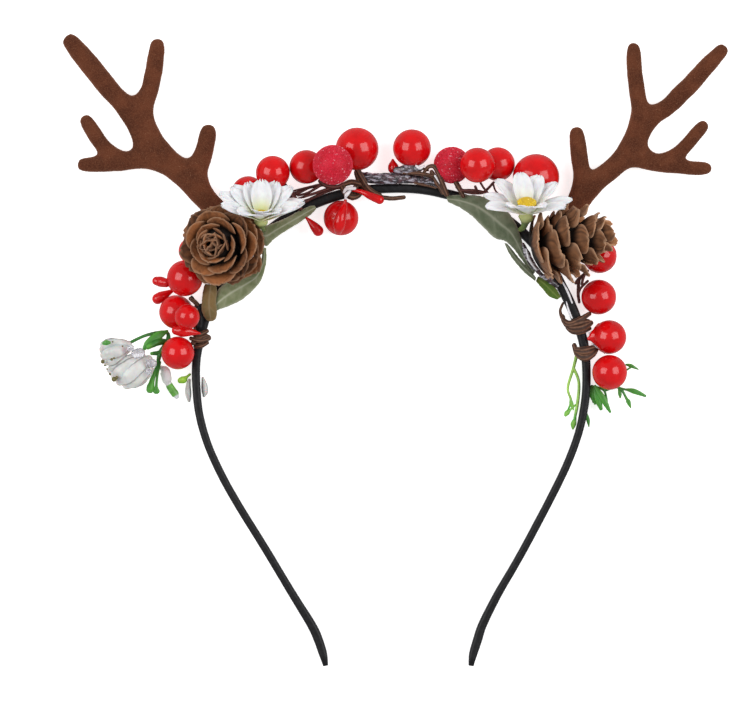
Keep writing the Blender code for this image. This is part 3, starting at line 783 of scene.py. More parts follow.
# The scales shrink towards the apex to these shares, slowly at first
LAST_LENGTH = 0.50
LAST_WIDTH = 0.46
SHRINK = 1.3
# Degrees by which a scale's tilt strays either way
TILT_JITTER = 4
# The core behind the scales, painted near-black as shade, as shares of the cone's length and radius
CORE_AT = 0.40
CORE_RADIUS = 0.46
# Shares of its distance from the axis and of its length that a scale under the daisy keeps
PRESSED_REACH = 0.78
PRESSED_SIZE = 0.85


def cone_width(t):
    """Share of the cone's radius at t along its axis: it swells, then closes to its apex."""
    t = max(0.0, min(t, 1.0))
    swell = 0.62 + 0.38 * math.sin(math.pi * min(t * 1.35 + 0.12, 0.5))
    return swell * math.sqrt(max(1.0 - (max(t - 0.3, 0.0) / 0.74) ** 2.2, 0.02))


def scale_thickness(i, j):
    """Half the thickness of a scale, thin at its sides and its end."""
    u, v = abs(spread(j, SCALE_COLS)), i / (SCALE_ROWS - 1)
    thin = (1 - 0.72 * u ** 6) * (1 - 0.62 * v ** 9)
    return SCALE_HALF_THICKNESS * thin * (0.75 + 0.5 * soft((v - 0.35) / 0.5))


def pine_cone(name, node, paint, base, apex, radius, count, turn, seed, wide, lean, long, close, low,
              pressed=None):
    """Scales spiral round the axis; lean is their angle off it at base, middle and apex.

    The lowest scale ends at low along the axis, and close is how far the last ones close over it.
    Scales that end inside pressed (left, right and lower edge) are pushed in by the daisy above.
    """
    rng = random.Random(seed)
    base = at(*base)
    run = at(*apex) - base
    length = run.length
    basis = axes_along(run, (0.1, 1.0, 0.3))
    radius = radius * UNIT
    bag = Bag("edge", "back", "streak", "deep", "tone")
    for n in range(count):
        t = (n + 0.5) / count
        phi = n * GOLDEN + turn
        tip_t = mix(low, 1.02, t ** 0.86)
        tilt = mix(lean[0], lean[1], t * 2) if t < 0.5 else mix(lean[1], lean[2], t * 2 - 1)
        tilt = math.radians(tilt + rng.uniform(-TILT_JITTER, TILT_JITTER))
        reach = radius * cone_width(tip_t) * (1 - close * soft((t - 0.45) / 0.55)) * rng.uniform(0.96, 1.04)
        size = radius * long * mix(1.0, LAST_LENGTH, t ** SHRINK) * rng.uniform(0.94, 1.06)
        spot = base + basis @ Vector((math.cos(phi) * reach, math.sin(phi) * reach, tip_t * length))
        if pressed:
            left, right = at(pressed[0], pressed[2], 0), at(pressed[1], pressed[2], 0)
            if left.x < spot.x < right.x and spot.y > left.y:
                reach *= PRESSED_REACH
                size *= PRESSED_SIZE
        tip = Vector((reach, tip_t * length))
        root = tip - Vector((math.sin(tilt), math.cos(tilt))) * size
        root.x = max(root.x, radius * 0.05)
        root.y = max(root.y, -0.02 * length)
        rise = tip - root
        bend = root + rise * 0.5 + Vector((rise.y, -rise.x)).normalized() * size * SCALE_BULGE
        half_wide = radius * wide * mix(1.0, LAST_WIDTH, t ** SHRINK) * rng.uniform(0.90, 1.10)
        notch = rng.uniform(-0.09, 0.09)
        grid = []
        for i in range(SCALE_ROWS):
            v = i / (SCALE_ROWS - 1)
            share = blade_width(v, root=0.36, widest=0.66, end=0.35, bend=2.6, least=0.04)
            curl = SCALE_CURL * size * soft((v - 0.7) / 0.3) ** 1.5
            line = []
            for j in range(SCALE_COLS):
                u = spread(j, SCALE_COLS)
                w = v * (1.0 + 0.07 * ripple((u * 1.9, n, 0.0), 1.0, seed) + notch * u)
                centre = root * (1 - w) ** 2 + bend * 2 * w * (1 - w) + tip * w ** 2
                slope = (bend - root) * (1 - w) + (tip - bend) * w
                away = Vector((slope.y, -slope.x)).normalized()
                cup = -half_wide * share * share * SCALE_CUP * u * u
                ridge = SCALE_RIDGE * math.cos(u * 7.5) * soft(v * 2) * (1 - abs(u))
                warp = SCALE_WARP * ripple((u * 2.4, v * 2.4, n * 3.3), 1.0, seed)
                flat = centre + away * (curl + cup + ridge + warp)
                across = u * half_wide * share
                ring = max(flat.x, radius * 0.02)
                local = Vector((math.cos(phi) * ring - math.sin(phi) * across,
                                math.sin(phi) * ring + math.cos(phi) * across, flat.y))
                line.append(base + basis @ local)
            grid.append(line)
        tone = rng.random()

        def marks(i, j, side):
            u, v = spread(j, SCALE_COLS), i / (SCALE_ROWS - 1)
            rim = max(abs(u) ** 7 * soft((v - 0.4) / 0.3), soft((v - 0.93) / 0.07))
            fibre = noise.noise(Vector((u * 9.0 + n * 5.1, v * 1.4, seed)))
            # Painted shade, full at the scale's root and gone past three quarters of its length
            return {"edge": rim * (0.45 + 0.55 * tone), "back": 1.0 if side > 0 else 0.0,
                    "streak": 0.5 + 0.45 * fibre, "tone": min(1.0, max(0.0, tone * 1.3 - 0.15 + 0.3 * fibre)),
                    "deep": 1.0 - soft((v - 0.36) / 0.36)}

        slab(bag, grid, scale_thickness, marks)
    # The core is painted all over with the painted shade
    core = base + basis @ Vector((0, 0, length * CORE_AT))
    ball(bag, core, radius * CORE_RADIUS, segments=20, rings=14, shape=lambda d: 1.0 + 0.45 * abs(d.z),
         basis=basis.to_3x3(), deep=1.0)
    bag.object(name, paint, [node])


pine_cone("cone_left_scales", "pine_cone_left", SCALE_LEFT, base=(231, 245, 9.9), apex=(209.5, 246, 33.5),
          radius=38.0, count=46, turn=0.9, seed=11, wide=0.56, lean=(80, 46, -16), long=0.90, close=0.90,
          low=0.15)
pine_cone("cone_right_scales", "pine_cone_right", SCALE_RIGHT, base=(532, 247, 21.4), apex=(613, 234.6, 22.6),
          radius=38.5, count=37, turn=0.35, seed=23, wide=0.54, lean=(62, 40, 8), long=0.96, close=0.30,
          low=0.05, pressed=(525, 567, 222))

# Daisies

LEFT_HUB = (262, 222, 21.0)
LEFT_FACE = (0.04, 0.766, 0.643)
RIGHT_HUB = (525, 215.5, 22.2)
RIGHT_FACE = (0.03, 0.848, 0.530)
HUB_ROUND = 5.0
PETAL_ROWS = 20
PETAL_COLS = 17
PETAL_HALF_THICKNESS = 0.00017
# Drawing units: how far every other petal lies above the rest, and its folds and warps
PETAL_LAYER = 0.9
PETAL_FOLD = 0.55
PETAL_WARP = 0.9
# Share of its half width by which its middle sinks
PETAL_CUP = 0.10
FOLDS = 9.0
# Radii of a pollen grain in metres
POLLEN_GRAIN = (0.00030, 0.00046)


def around(values, angle):
    """The value at an angle, from those at the sides, the back and the front."""
    far = values[1] if math.sin(angle) > 0 else values[2]
    return values[0] * math.cos(angle) ** 2 + far * math.sin(angle) ** 2


def petal_thickness(_, j):
    return PETAL_HALF_THICKNESS * (1 - 0.5 * abs(spread(j, PETAL_COLS)) ** 4)


def daisy(name, node, hub, face, length, cup, angles, wide, seed, tint, tooth):
    """A cup of petals round its face direction, each curved like a piece of a cone."""
    rng = random.Random(seed)
    origin = at(*hub)
    basis = axes_along(face, (0, 1, 0))
    bag = Bag("green", "painted_lilac_shade")
    for n, degrees in enumerate(angles):
        angle = math.radians(degrees)
        long = around(length, angle) * rng.uniform(0.96, 1.04)
        tilt = math.radians(around(cup, angle) + rng.uniform(-3, 3))
        half_wide = wide * rng.uniform(0.92, 1.08)
        layer = PETAL_LAYER if n % 2 else -PETAL_LAYER
        droop = rng.uniform(0.15, 0.45)
        twist = rng.uniform(-0.12, 0.12)
        stain = rng.uniform(0.55, 1.0) * tint
        grid = []
        for i in range(PETAL_ROWS):
            v = i / (PETAL_ROWS - 1)
            share = blade_width(v, root=0.55, widest=0.60, end=0.415, bend=2.5, least=0.05)
            slope = tilt - droop * max(v - 0.35, 0.0) ** 2
            line = []
            for j in range(PETAL_COLS):
                u = spread(j, PETAL_COLS)
                bite = tooth * math.cos(u * 8.5 + n) * soft((v - 0.82) / 0.18)
                run = long * (0.05 + 0.95 * v) * (1 + bite)
                fold = PETAL_FOLD * math.cos(u * FOLDS) * soft(v * 1.6) * (1 - abs(u) * 0.5)
                away = layer * soft(v * 3) + fold
                warp = PETAL_WARP * ripple((u, v * 2, n * 2.2), 1.0, seed)
                away += twist * u * half_wide * share * v + warp
                away -= PETAL_CUP * half_wide * (1 - u * u) * soft(v * 2)
                r = run * math.cos(slope) - away * math.sin(slope)
                height = run * math.sin(slope) + away * math.cos(slope)
                bearing = angle + u * half_wide * share / max(r, HUB_ROUND)
                local = Vector((math.cos(bearing) * r, math.sin(bearing) * r, height)) * UNIT
                line.append(origin + basis @ local)
            grid.append(line)

        def marks(i, j, _):
            u, v = spread(j, PETAL_COLS), i / (PETAL_ROWS - 1)
            green = (1 - soft((v - 0.15) / 0.55)) * stain
            green = max(green, 0.4 * stain * (1 - soft(v / 0.9)) * (0.5 + 0.5 * math.cos(u * FOLDS)))
            # Painted lilac shade in stripes along the petal, stronger near its base
            return {"green": min(green, 1.0), "painted_lilac_shade": 0.5 * abs(math.sin(u * 4.5)) * (1 - v) + 0.12}

        slab(bag, grid, petal_thickness, marks)
    bag.object(name, PETAL, [node])


def disc(name, hub, face, up, forward, radius, height, count, replaced, seed):
    """A cushion of pollen grains on a stub that rises from the flower's hub."""
    rng = random.Random(seed)
    basis = axes_along(face, (0, 1, 0))
    origin = at(*hub) + basis @ Vector((0, -forward * UNIT, up * UNIT))
    bag = Bag("tone")
    radius *= UNIT
    height *= UNIT
    cushion = basis.to_3x3() @ Matrix.Diagonal((radius, radius, height))
    ball(bag, origin, 1.0, segments=28, rings=14, basis=cushion, tone=1.0)
    pipe(bag, [at(*hub), origin], [radius * 0.3, radius * 0.7], sides=16, marks=lambda *_: {"tone": 1.0})
    for n in range(count):
        r = math.sqrt((n + 0.5) / count) * radius * 0.97
        angle = n * GOLDEN
        top = height * math.sqrt(max(1 - (r / radius) ** 2, 0.0))
        spot = origin + basis @ Vector((math.cos(angle) * r, math.sin(angle) * r, top))
        ball(bag, spot, rng.uniform(*POLLEN_GRAIN), segments=7, rings=5, tone=rng.random() * 0.6)
    bag.object(name, POLLEN, replaced)


def calyx(side, rows):
    bag = Bag("tip")
    tube(bag, rows, steps=6, sides=14, ridge=0.05, rough=0.03,
         marks=lambda t, _: {"tip": 1 - soft(t / 0.4)})
    bag.object("daisy_" + side + "_calyx", CALYX, ["daisy_" + side + "_base"])


daisy("daisy_left_cloth", "daisy_left_petals", LEFT_HUB, LEFT_FACE, length=(48, 39, 36), cup=(39, 60, 62),
      angles=(5, 33, 62, 90, 116, 141, 164, 194, 228, 266, 303, 336), wide=12.2, seed=31, tint=0.95,
      tooth=0.045)
daisy("daisy_right_cloth", "daisy_right_petals", RIGHT_HUB, RIGHT_FACE, length=(48, 42, 37), cup=(27, 56, 50),
      angles=(4, 36, 66, 103, 138, 168, 201, 234, 266, 298, 331), wide=10.2, seed=47, tint=0.5, tooth=0.02)
disc("daisy_right_pollen", RIGHT_HUB, RIGHT_FACE, up=14, forward=2.0, radius=9.5, height=3.0, count=120,
     replaced=["daisy_right_disc"], seed=5)
disc("daisy_left_pollen", LEFT_HUB, LEFT_FACE, up=8, forward=0.5, radius=6.5, height=2.6, count=80,
     replaced=[], seed=6)
calyx("left", [(262, 220.6, 21.4, 12), (262, 222.6, 20.7, 14), (262.2, 225, 19.8, 10),
               (262.8, 228, 17.5, 5), (263.6, 230, 13.5, 4), (264, 230, 8.9, 4)])
calyx("right", [(525, 214.6, 22.4, 12), (525, 217.5, 21.4, 15), (524.6, 220.5, 19.8, 11),
                (524.2, 224, 17.2, 7), (523, 227.5, 14.0, 6), (520.4, 229.5, 10.0, 5)])

# Leaves

LEAF_COLS = 15
LEAF_HALF_THICKNESS = 0.00022
# Drawing units of fraying at the rim, then millimetres of curl and of the midrib's height
FRAY = 0.6
CURL = 0.2
MIDRIB = 0.12

# Rows across each leaf: x and y of one edge, x and y of the other, height and arch
LEAVES = {
    "left_upper": (LEAF_LEFT, "leaf", [
        (262, 228, 262, 243, 7.4, 0.6), (268, 225, 267, 246, 7.4, 0.8), (277, 222, 274, 239, 7.4, 0.8),
        (288, 217, 287, 230, 7.3, 0.7), (300, 210.5, 300, 222, 7.2, 0.6), (310, 206, 311, 214, 7.0, 0.4),
        (315, 206, 316, 209, 6.9, 0.1)]),
    "left_lower": (LEAF_LEFT, "leaf", [
        (262, 247, 266, 248, 7.4, 0.5), (261, 262, 266, 262, 7.4, 0.5), (252, 274, 262, 278, 7.3, 0.5),
        (240, 279, 256, 287, 7.2, 0.6), (227, 282, 243, 299, 7.2, 0.8), (219, 289, 231, 305, 7.2, 0.8),
        (215.5, 297, 220, 309, 7.1, 0.6), (213, 303, 215, 311, 7.0, 0.2)]),
    "left_lobe": (LEAF_TAN, "leaf_brown", [
        (205, 284, 216, 285, 8.5, 0.4), (203, 292, 217, 292, 8.8, 0.6), (202, 302, 216, 302, 8.7, 0.6),
        (202, 311, 217, 311, 8.4, 0.6), (205, 318, 216, 318, 8.0, 0.4), (208, 321, 213, 321, 7.9, 0.1)]),
    "right_upper": (LEAF_RIGHT, "leaf", [
        (446, 195.5, 448, 202, 7.1, 0.2), (463, 195, 459, 207, 7.3, 0.6), (480, 196, 472, 216, 7.4, 1.0),
        (494, 201, 484, 228, 7.4, 1.3), (507, 211, 495, 238, 7.4, 1.3), (516, 224, 505, 241, 7.4, 1.0),
        (521, 238, 513, 248, 7.4, 0.6), (526, 253, 520, 257, 7.3, 0.3), (535, 272, 533, 275, 7.2, 0.1)]),
    "right_lower": (LEAF_RIGHT, "leaf", [
        (507, 244, 504.5, 243, 8.9, 0.1), (512, 249.5, 509, 253, 8.9, 0.3), (519, 258.5, 516, 263, 8.9, 0.3),
        (528, 268, 525, 273, 8.9, 0.3), (536, 278, 535, 281, 8.8, 0.1)]),
    "right_bud": (LEAF_BRIGHT, "bright_green", [
        (538, 276.5, 536, 281, 7.2, 0.2), (546, 279, 542, 288, 7.3, 0.5), (555, 287, 549, 296, 7.3, 0.5),
        (561, 297, 557, 299.5, 7.2, 0.2)]),
}
SIDE_VEINS = {"left_lobe": 3.0, "right_upper": 6.0}
USUAL_VEINS = 5.0


def leaf_thickness(_, j):
    return LEAF_HALF_THICKNESS * (1 - 0.45 * abs(spread(j, LEAF_COLS)) ** 4)


def leaf(place, paint, slot, rows, seed):
    """A cloth blade between two edges, with a midrib, side veins and a frayed rim."""
    path = smooth_path(rows, steps=7)
    total = len(path) - 1
    veins = SIDE_VEINS.get(place, USUAL_VEINS)
    bag = Bag("edge", "vein")
    grid = []
    for i, (ax, ay, bx, by, z, arch) in enumerate(path):
        line = []
        for j in range(LEAF_COLS):
            u = spread(j, LEAF_COLS)
            x, y = mix(ax, bx, (u + 1) / 2), mix(ay, by, (u + 1) / 2)
            if abs(u) > 0.9:
                x += FRAY * ripple((i * 0.9, u * 3, 0.0), 1.0, seed)
                y += FRAY * ripple((i * 0.9, u * 3, 5.0), 1.0, seed)
            lift = arch * (1 - u * u) + CURL * ripple((i * 0.22, u * 0.8, 2.0), 1.0, seed)
            lift += MIDRIB * hill(u, 0, 0.08)
            line.append(at(x, y, z + lift))
        grid.append(line)

    def marks(i, j, _):
        u = spread(j, LEAF_COLS)
        phase = (i / total * veins - abs(u) * 0.55) % 1.0
        rib = hill(u, 0, 0.09) * 0.75
        side = hill(phase, 0.5, 0.09) * 0.35 * (1 - abs(u))
        return {"edge": soft((abs(u) - 0.80) / 0.2) * 0.75, "vein": max(rib, side)}

    slab(bag, grid, leaf_thickness, marks)
    bag.object("leaf_cloth_" + place, paint, ["leaf_" + place])


for number, (leaf_place, leaf_look) in enumerate(LEAVES.items()):
    leaf(leaf_place, *leaf_look, seed=number + 1.0)

# Berries and pods

BERRIES = [
    ("berry_01", 248, 193, 6.45, 17), ("berry_02", 273, 173, 11.6, 17),
    ("berry_03", 306.3, 167, 9.2, 17), ("berry_04", 357, 149, 8.1, 21.5),
    ("berry_05", 412, 148, 7.2, 19), ("berry_06", 477, 166, 16.6, 17.5),
    ("berry_07", 498, 164, 6.5, 17), ("berry_08", 536, 177.2, 8.7, 23.3),
    ("berry_09", 341, 218, 6.9, 17.5), ("berry_10", 191.4, 250.5, 5.0, 13.2),
    ("berry_11", 185.2, 278.4, 11.7, 18), ("berry_12", 176, 312, 6.5, 17),
    ("berry_13", 188, 317, 16.6, 12.5), ("berry_14", 178, 353, 9.8, 16.5),
    ("berry_15", 600, 256, 6.5, 17), ("berry_16", 599, 297, 6.7, 17.5),
    ("berry_17", 609.5, 337, 6.5, 17), ("berry_18", 609.5, 372.3, 9.2, 17.5),
]
FROSTED = [
    ("frosted_berry_left", 333, 166, 19.1, 20), ("frosted_berry_right", 452, 165, 7.0, 18.5),
]

# One berry is less even than the others
ROUGH_BERRY = "berry_15"


def berry(node, x, y, z, radius, seed):
    bag = Bag()

    def shape(n):
        swell = 0.010 * ripple(n, 1.6, seed) + 0.0035 * ripple(n, 5.0, seed)
        if node == ROUGH_BERRY:
            swell += 0.035 * ripple(n, 4.2, seed) + 0.015 * ripple(n, 9.0, seed)
        return 1.0 + swell

    ball(bag, at(x, y, z), radius * UNIT, segments=48, rings=32, shape=shape)
    bag.object(node + "_gloss", BERRY, [node])


for number, row in enumerate(BERRIES):
    berry(*row, seed=number * 2.3)

SUGAR_GRAINS = 2100
# Radii of a grain in metres, and how far its place strays
SUGAR_GRAIN = (0.00014, 0.00028)
SUGAR_STRAY = 0.02
# Shares of the berry's radius: the smooth ball, and where the grains sit
SUGAR_UNDER = 0.965
SUGAR_OUT = 0.97


def frosted_berry(node, x, y, z, radius, seed):
    """A round berry under a crust of sugar grains."""
    rng = random.Random(seed)
    bag = Bag("grain", "tone")
    centre = at(x, y, z)
    ball(bag, centre, radius * UNIT * SUGAR_UNDER, segments=48, rings=32)
    for n in range(SUGAR_GRAINS):
        up = 1 - 2 * (n + 0.5) / SUGAR_GRAINS
        ring = math.sqrt(1 - up * up)
        angle = n * GOLDEN
        d = Vector((math.cos(angle) * ring, math.sin(angle) * ring, up))
        stray = Vector((rng.uniform(-1, 1), rng.uniform(-1, 1), rng.uniform(-1, 1))) * SUGAR_STRAY
        d = (d + stray).normalized()
        size = rng.uniform(*SUGAR_GRAIN)
        tilt = Matrix.Rotation(rng.uniform(0, 3.1), 3, d)
        spot = centre + d * (radius * UNIT * SUGAR_OUT)
        ball(bag, spot, size, segments=5, rings=4, basis=tilt, grain=1.0, tone=rng.random())
    bag.object(node + "_sugar", SUGAR, [node], smooth=False)


for number, row in enumerate(FROSTED):
    frosted_berry(*row, seed=100 + number)

PODS = {
    "pod_01": [(156.8, 281, 9.3, 9), (161, 281.8, 9.8, 10.5), (166.4, 283, 11.2, 9)],
    "pod_02": [(157, 298.6, 3, 11), (162, 296, 3, 10.5), (168, 292.6, 3, 6), (171, 291, 3, 4)],
    "pod_03": [(176.5, 330.5, 11.5, 9), (183, 331.2, 11.5, 11.5), (191, 332, 11.2, 8), (200, 333.4, 10.4, 2)],
    "pod_04": [(306.5, 218, 7.6, 2.5), (309.5, 221, 7.5, 5), (314, 226, 7.1, 9), (318, 230.6, 6.8, 11)],
    "pod_05": [(353, 190.3, 9.9, 3), (361, 191.8, 10.8, 4.5), (370, 196, 11.0, 7.5), (379.6, 200, 10.6, 9)],
    "pod_06": [(393.4, 168, 5, 11), (393, 164.5, 5, 9.5), (392.8, 160, 5, 3)],
    "pod_07": [(345.5, 200.5, 10.6, 3), (343.8, 208, 14.9, 7), (341, 217, 16.6, 11),
               (339.2, 226, 15.9, 12), (338.4, 232, 13.6, 7)],
}
for pod_name, pod_rows in PODS.items():
    pod_bag = Bag()
    tube(pod_bag, pod_rows, steps=8, sides=22, rough=0.015, caps=6)
    pod_bag.object(pod_name + "_gloss", BERRY, [pod_name])

# Vines, wraps and stems

WIRES = {
    "vine_crown_left": ("stem_red", [
        ("a", None, 297, 205, 7.5, 6), ("b", "a", 291, 195.5, 8.0, 5), ("c", "b", 283.6, 186.8, 8.3, 4),
        ("d", "b", 302, 191, 7.9, 3), ("e", "d", 311, 187, 7.7, 3), ("f", "e", 326, 184.5, 6.4, 3),
        ("g", "a", 309, 199.5, 7.6, 3), ("h", "g", 324, 192.5, 7.2, 3), ("i", "h", 341, 186.5, 6.9, 3)]),
    "vine_crown_loop": ("vine", [
        ("a", None, 357.5, 172.5, 8.2, 7), ("b", "a", 360, 181, 7.9, 6), ("c", "b", 367, 190, 7.6, 5.5),
        ("d", "c", 378, 196, 6.8, 5), ("e", "d", 391, 198.2, 5.4, 4.5), ("f", "e", 404, 197, 4.4, 4),
        ("g", "b", 354, 190, 7.9, 5), ("h", "g", 352.5, 198, 7.2, 5)]),
    "vine_crown_middle": ("vine", [
        ("a", None, 367, 178.5, 3.4, 6.5), ("b", "a", 390, 178, 3.4, 8), ("c", "b", 412, 177.4, 3.4, 8),
        ("d", "c", 427, 177.5, 5.0, 6), ("e", "c", 412.2, 169.0, 6.5, 4), ("f", "d", 438, 184, 8.6, 5.5),
        ("g", "f", 443.5, 192, 8.8, 6), ("h", "f", 431.6, 172, 8.2, 4.5)]),
    "stem_berry_pair": ("stem_red", [
        ("a", None, 463, 191, 8.2, 3.4), ("b", "a", 476, 193, 9.0, 3.2), ("c", "b", 475, 187, 13.0, 2.6),
        ("d", "b", 484, 192, 9.0, 2.8), ("e", "d", 493.6, 182.5, 9.0, 2.6), ("f", "a", 457, 187, 7.6, 3.6)]),
    "wrap_left": ("vine", [
        ("a", None, 190.5, 298.6, 12.0, 3.4), ("b", "a", 196, 303, 8.4, 4.4), ("c", "b", 199.3, 309, 4.4, 3.8),
        ("d", "c", 196.4, 322, 4.2, 3.2), ("e", "d", 194.6, 333, 6.6, 4), ("f", "e", 199, 338, 8.0, 5.6),
        ("g", "f", 206.4, 336, 7.8, 4.5), ("h", "g", 209, 338, 3.4, 4.0), ("i", "f", 193, 343, 8.0, 4.5)]),
    "stem_right": ("stem_red", [
        ("a", None, 576.2, 283, 3.6, 3.0), ("b", "a", 579.3, 279, 3.6, 3.4), ("c", "b", 587.5, 271.5, 5.2, 3.0),
        ("d", "b", 578.6, 293, 4.0, 3.2), ("e", "d", 579.4, 302, 5.2, 3.0)]),
    "wrap_right_upper": ("vine", [
        ("a", None, 563.2, 316, 2.6, 4.2), ("b", "a", 564.6, 322, 5.8, 5), ("c", "b", 570, 325, 8.2, 7),
        ("d", "c", 580, 323, 8.4, 8), ("e", "d", 588, 322, 7.0, 6), ("f", "e", 590.4, 324, 3.2, 5)]),
    "wrap_right_lower": ("vine", [
        ("a", None, 576, 349, 3.2, 4.5), ("b", "a", 577.6, 351, 7.2, 6), ("c", "b", 585, 352, 8.8, 9),
        ("d", "c", 592, 350.5, 7.2, 6), ("e", "d", 594.3, 350, 4.0, 4.6)]),
}
WIRE_PAINT = {"vine": VINE, "stem_red": STEM_RED}

# Thinner strands that lie on the wires: lines of x, y, height, width
STRANDS = {
    "vine_crown_left": [
        [(284, 184, 9.0, 4.2), (291, 193, 9.4, 4.8), (297, 202, 9.2, 4.8), (300.5, 209, 8.2, 4)],
        [(293, 191, 8.8, 1.8), (308, 187.2, 8.8, 1.8), (325, 183, 8.2, 2.0)],
        [(297, 199, 8.8, 2.0), (312, 194, 8.9, 2.2), (330, 188, 8.2, 2.4)],
        [(298, 195.5, 8.6, 2.4), (309, 192.4, 8.8, 2.6), (320, 185.4, 8.2, 3.2)],
        [(303, 197.6, 8.9, 1.6), (318, 193, 9.0, 1.6), (334, 186.6, 8.4, 2.2)],
        [(320, 181, 8.6, 4), (327, 186, 8.6, 4.4), (338, 187, 8.6, 5), (344, 184, 8.4, 4)]],
    "vine_crown_loop": [
        [(343, 188, 9.0, 6), (350, 196.4, 9.2, 6.4), (358, 195.6, 8.4, 5), (361.5, 190, 7.6, 4)],
        [(358, 170, 8.8, 6), (363, 180, 9.2, 5), (370, 190, 8.8, 4.8), (380, 195.4, 7.4, 4.4)],
        [(345, 184, 8.4, 5), (352, 182, 8.6, 5.6), (360, 184, 8.6, 5)]],
    "vine_crown_middle": [
        [(404, 172.6, 9.2, 3.6), (418, 173.4, 9.6, 4), (432, 176, 9.4, 3.6)],
        [(415, 183, 8.0, 2.2), (427, 185.6, 8.2, 2.2), (436, 188, 8.4, 1.8)],
        [(424, 172, 8.6, 3.0), (429, 166.6, 9.4, 3.8), (435, 167.6, 9.8, 4.4), (441, 180, 9.8, 4.8),
         (446.5, 194.5, 9.2, 5.0)],
        [(416, 171, 8.0, 2.4), (422, 168.6, 8.4, 2.6), (428, 170.4, 8.4, 2.2)],
        [(455, 181, 8.6, 4.6), (459, 188, 9.0, 5), (463, 196, 8.8, 4.4)]],
    "stem_berry_pair": [
        [(461, 190.5, 9.6, 3.0), (474, 190.8, 10.0, 3.2), (487, 193, 9.6, 2.6)],
        [(480, 182, 9.8, 2.0), (484, 188.6, 10.0, 2.2), (488, 193, 9.8, 2.0)],
        [(493, 183, 9.6, 1.8), (495, 190, 9.6, 1.8), (500, 196, 9.2, 1.8)]],
    "wrap_left": [
        [(191, 333, 8.2, 4), (199, 334.4, 9.2, 4.4), (207, 331, 7.4, 4)],
        [(191, 338.4, 8.0, 4), (200, 340.6, 9.0, 5), (209, 338.4, 5.6, 4)],
        [(195, 346.4, 6.0, 4), (201.5, 346, 8.4, 4), (207, 342.6, 6.2, 4)]],
    "stem_right": [
        [(582, 284, 5.6, 2.8), (584, 276, 5.8, 3.0), (588, 270.6, 5.8, 2.6)],
        [(578, 296, 5.6, 2.4), (581, 288, 6.0, 2.4), (588, 281, 6.2, 2.6)]],
    "wrap_right_upper": [
        [(563.6, 303, 3.2, 2.4), (560.6, 311, 4.4, 2.8), (563, 318.6, 6.6, 4), (570, 323.2, 8.6, 5.4),
         (580, 319.6, 8.8, 5.6), (589.4, 314, 6.4, 4.6)],
        [(566, 322.6, 6.2, 5), (572, 328, 8.4, 6.4), (582, 327.6, 8.8, 7.4), (590.6, 323, 6.2, 6)],
        [(568, 327, 5.6, 5), (573.6, 332, 7.6, 5), (582, 331.8, 8.2, 5), (589.6, 328.4, 5.2, 4.6)]],
    "wrap_right_lower": [
        [(574.6, 345, 4.4, 4.4), (578, 354.4, 7.6, 6.4), (585, 357.6, 9.0, 7.4), (592.6, 354, 7.8, 6.4),
         (597, 348.6, 5.4, 4.4)],
        [(577, 349.4, 6.4, 4.6), (584, 350, 9.2, 6.4), (593.6, 347.6, 7.6, 5.6)]],
}


def wire(name, slot, rows):
    """The strands that lie on a wire, and the wire with its branches."""
    bag = Bag("ridge")
    for k, strand in enumerate(STRANDS[name]):
        tube(bag, strand, steps=8, sides=16, ridge=0.10, twist=260, seed=20 + k, rough=0.14)
    for k, line in enumerate(chains(rows)):
        tube(bag, [row[2:] for row in line], steps=7, sides=18, ridge=0.09, lobes=6, twist=300,
             seed=k * 3.0, rough=0.10)
    bag.object(name + "_paper", WIRE_PAINT[slot], [name])


for wire_name, (wire_slot, wire_rows) in WIRES.items():
    wire(wire_name, wire_slot, wire_rows)

# Bell flowers

# The crumpled bells are fans of broad pleats: x, y, height, width from the stem to the mouth
PLEATS = {
    "bell_upper_petals": ("bell_flower_upper", [
        [(128.6, 344.4, 10.0, 7), (119, 344.4, 11.4, 12), (108, 346.4, 11.6, 15), (103.6, 350, 10.6, 9)],
        [(129.4, 346, 9.6, 7), (120, 350, 12.0, 13), (109, 353.6, 12.2, 13), (103.0, 355.4, 11.0, 6)],
        [(128.6, 349, 9.4, 7), (120, 354.4, 11.2, 11), (111, 360, 11.4, 12), (106.6, 363.0, 10.2, 6)],
        [(126, 346, 6.6, 9), (116, 352, 6.0, 19), (108, 356, 6.0, 15)]]),
    "bell_lower_petals": ("bell_flower_lower", [
        [(140, 356.4, 9.4, 7), (128, 360.6, 10.6, 10), (115, 367.4, 10.4, 11), (109.6, 370.4, 9.4, 6)],
        [(143, 357, 10.0, 7), (132, 363.6, 11.6, 11), (120, 372.0, 11.6, 13), (113.8, 376, 10.2, 7)],
        [(149, 359, 10.2, 8), (139, 367.4, 12.0, 13), (127.6, 376.8, 11.8, 14), (119.6, 382, 10.2, 8)],
        [(151.6, 362.4, 9.6, 8), (145, 371, 11.0, 13), (135, 380.2, 10.8, 15), (126.4, 385.4, 9.6, 8)],
        [(151, 363, 7.4, 9), (148.4, 370.6, 7.6, 10), (141.6, 379.6, 7.4, 10), (134, 385.4, 7.4, 6)],
        [(146, 361, 6.6, 10), (134, 370, 6.0, 20), (122, 377, 6.0, 17)]]),
}


def bell(name, node, pleats):
    bag = Bag("fold")

    def marks(t, angle):
        """Painted shade, dark along both edges of a pleat and lighter towards its mouth."""
        return {"fold": 0.75 * soft((abs(math.cos(angle)) - 0.80) / 0.18) * soft(4 * (1.1 - t))}

    for k, pleat in enumerate(pleats):
        tube(bag, pleat, steps=9, sides=30, ridge=0.06, twist=90, seed=k * 1.7 + len(pleats), rough=0.13,
             flat=0.42, caps=5, marks=marks)
    bag.object(name, BELL, [node])


for bell_name, (bell_node, bell_pleats) in PLEATS.items():
    bell(bell_name, bell_node, bell_pleats)

# Sprigs and buds

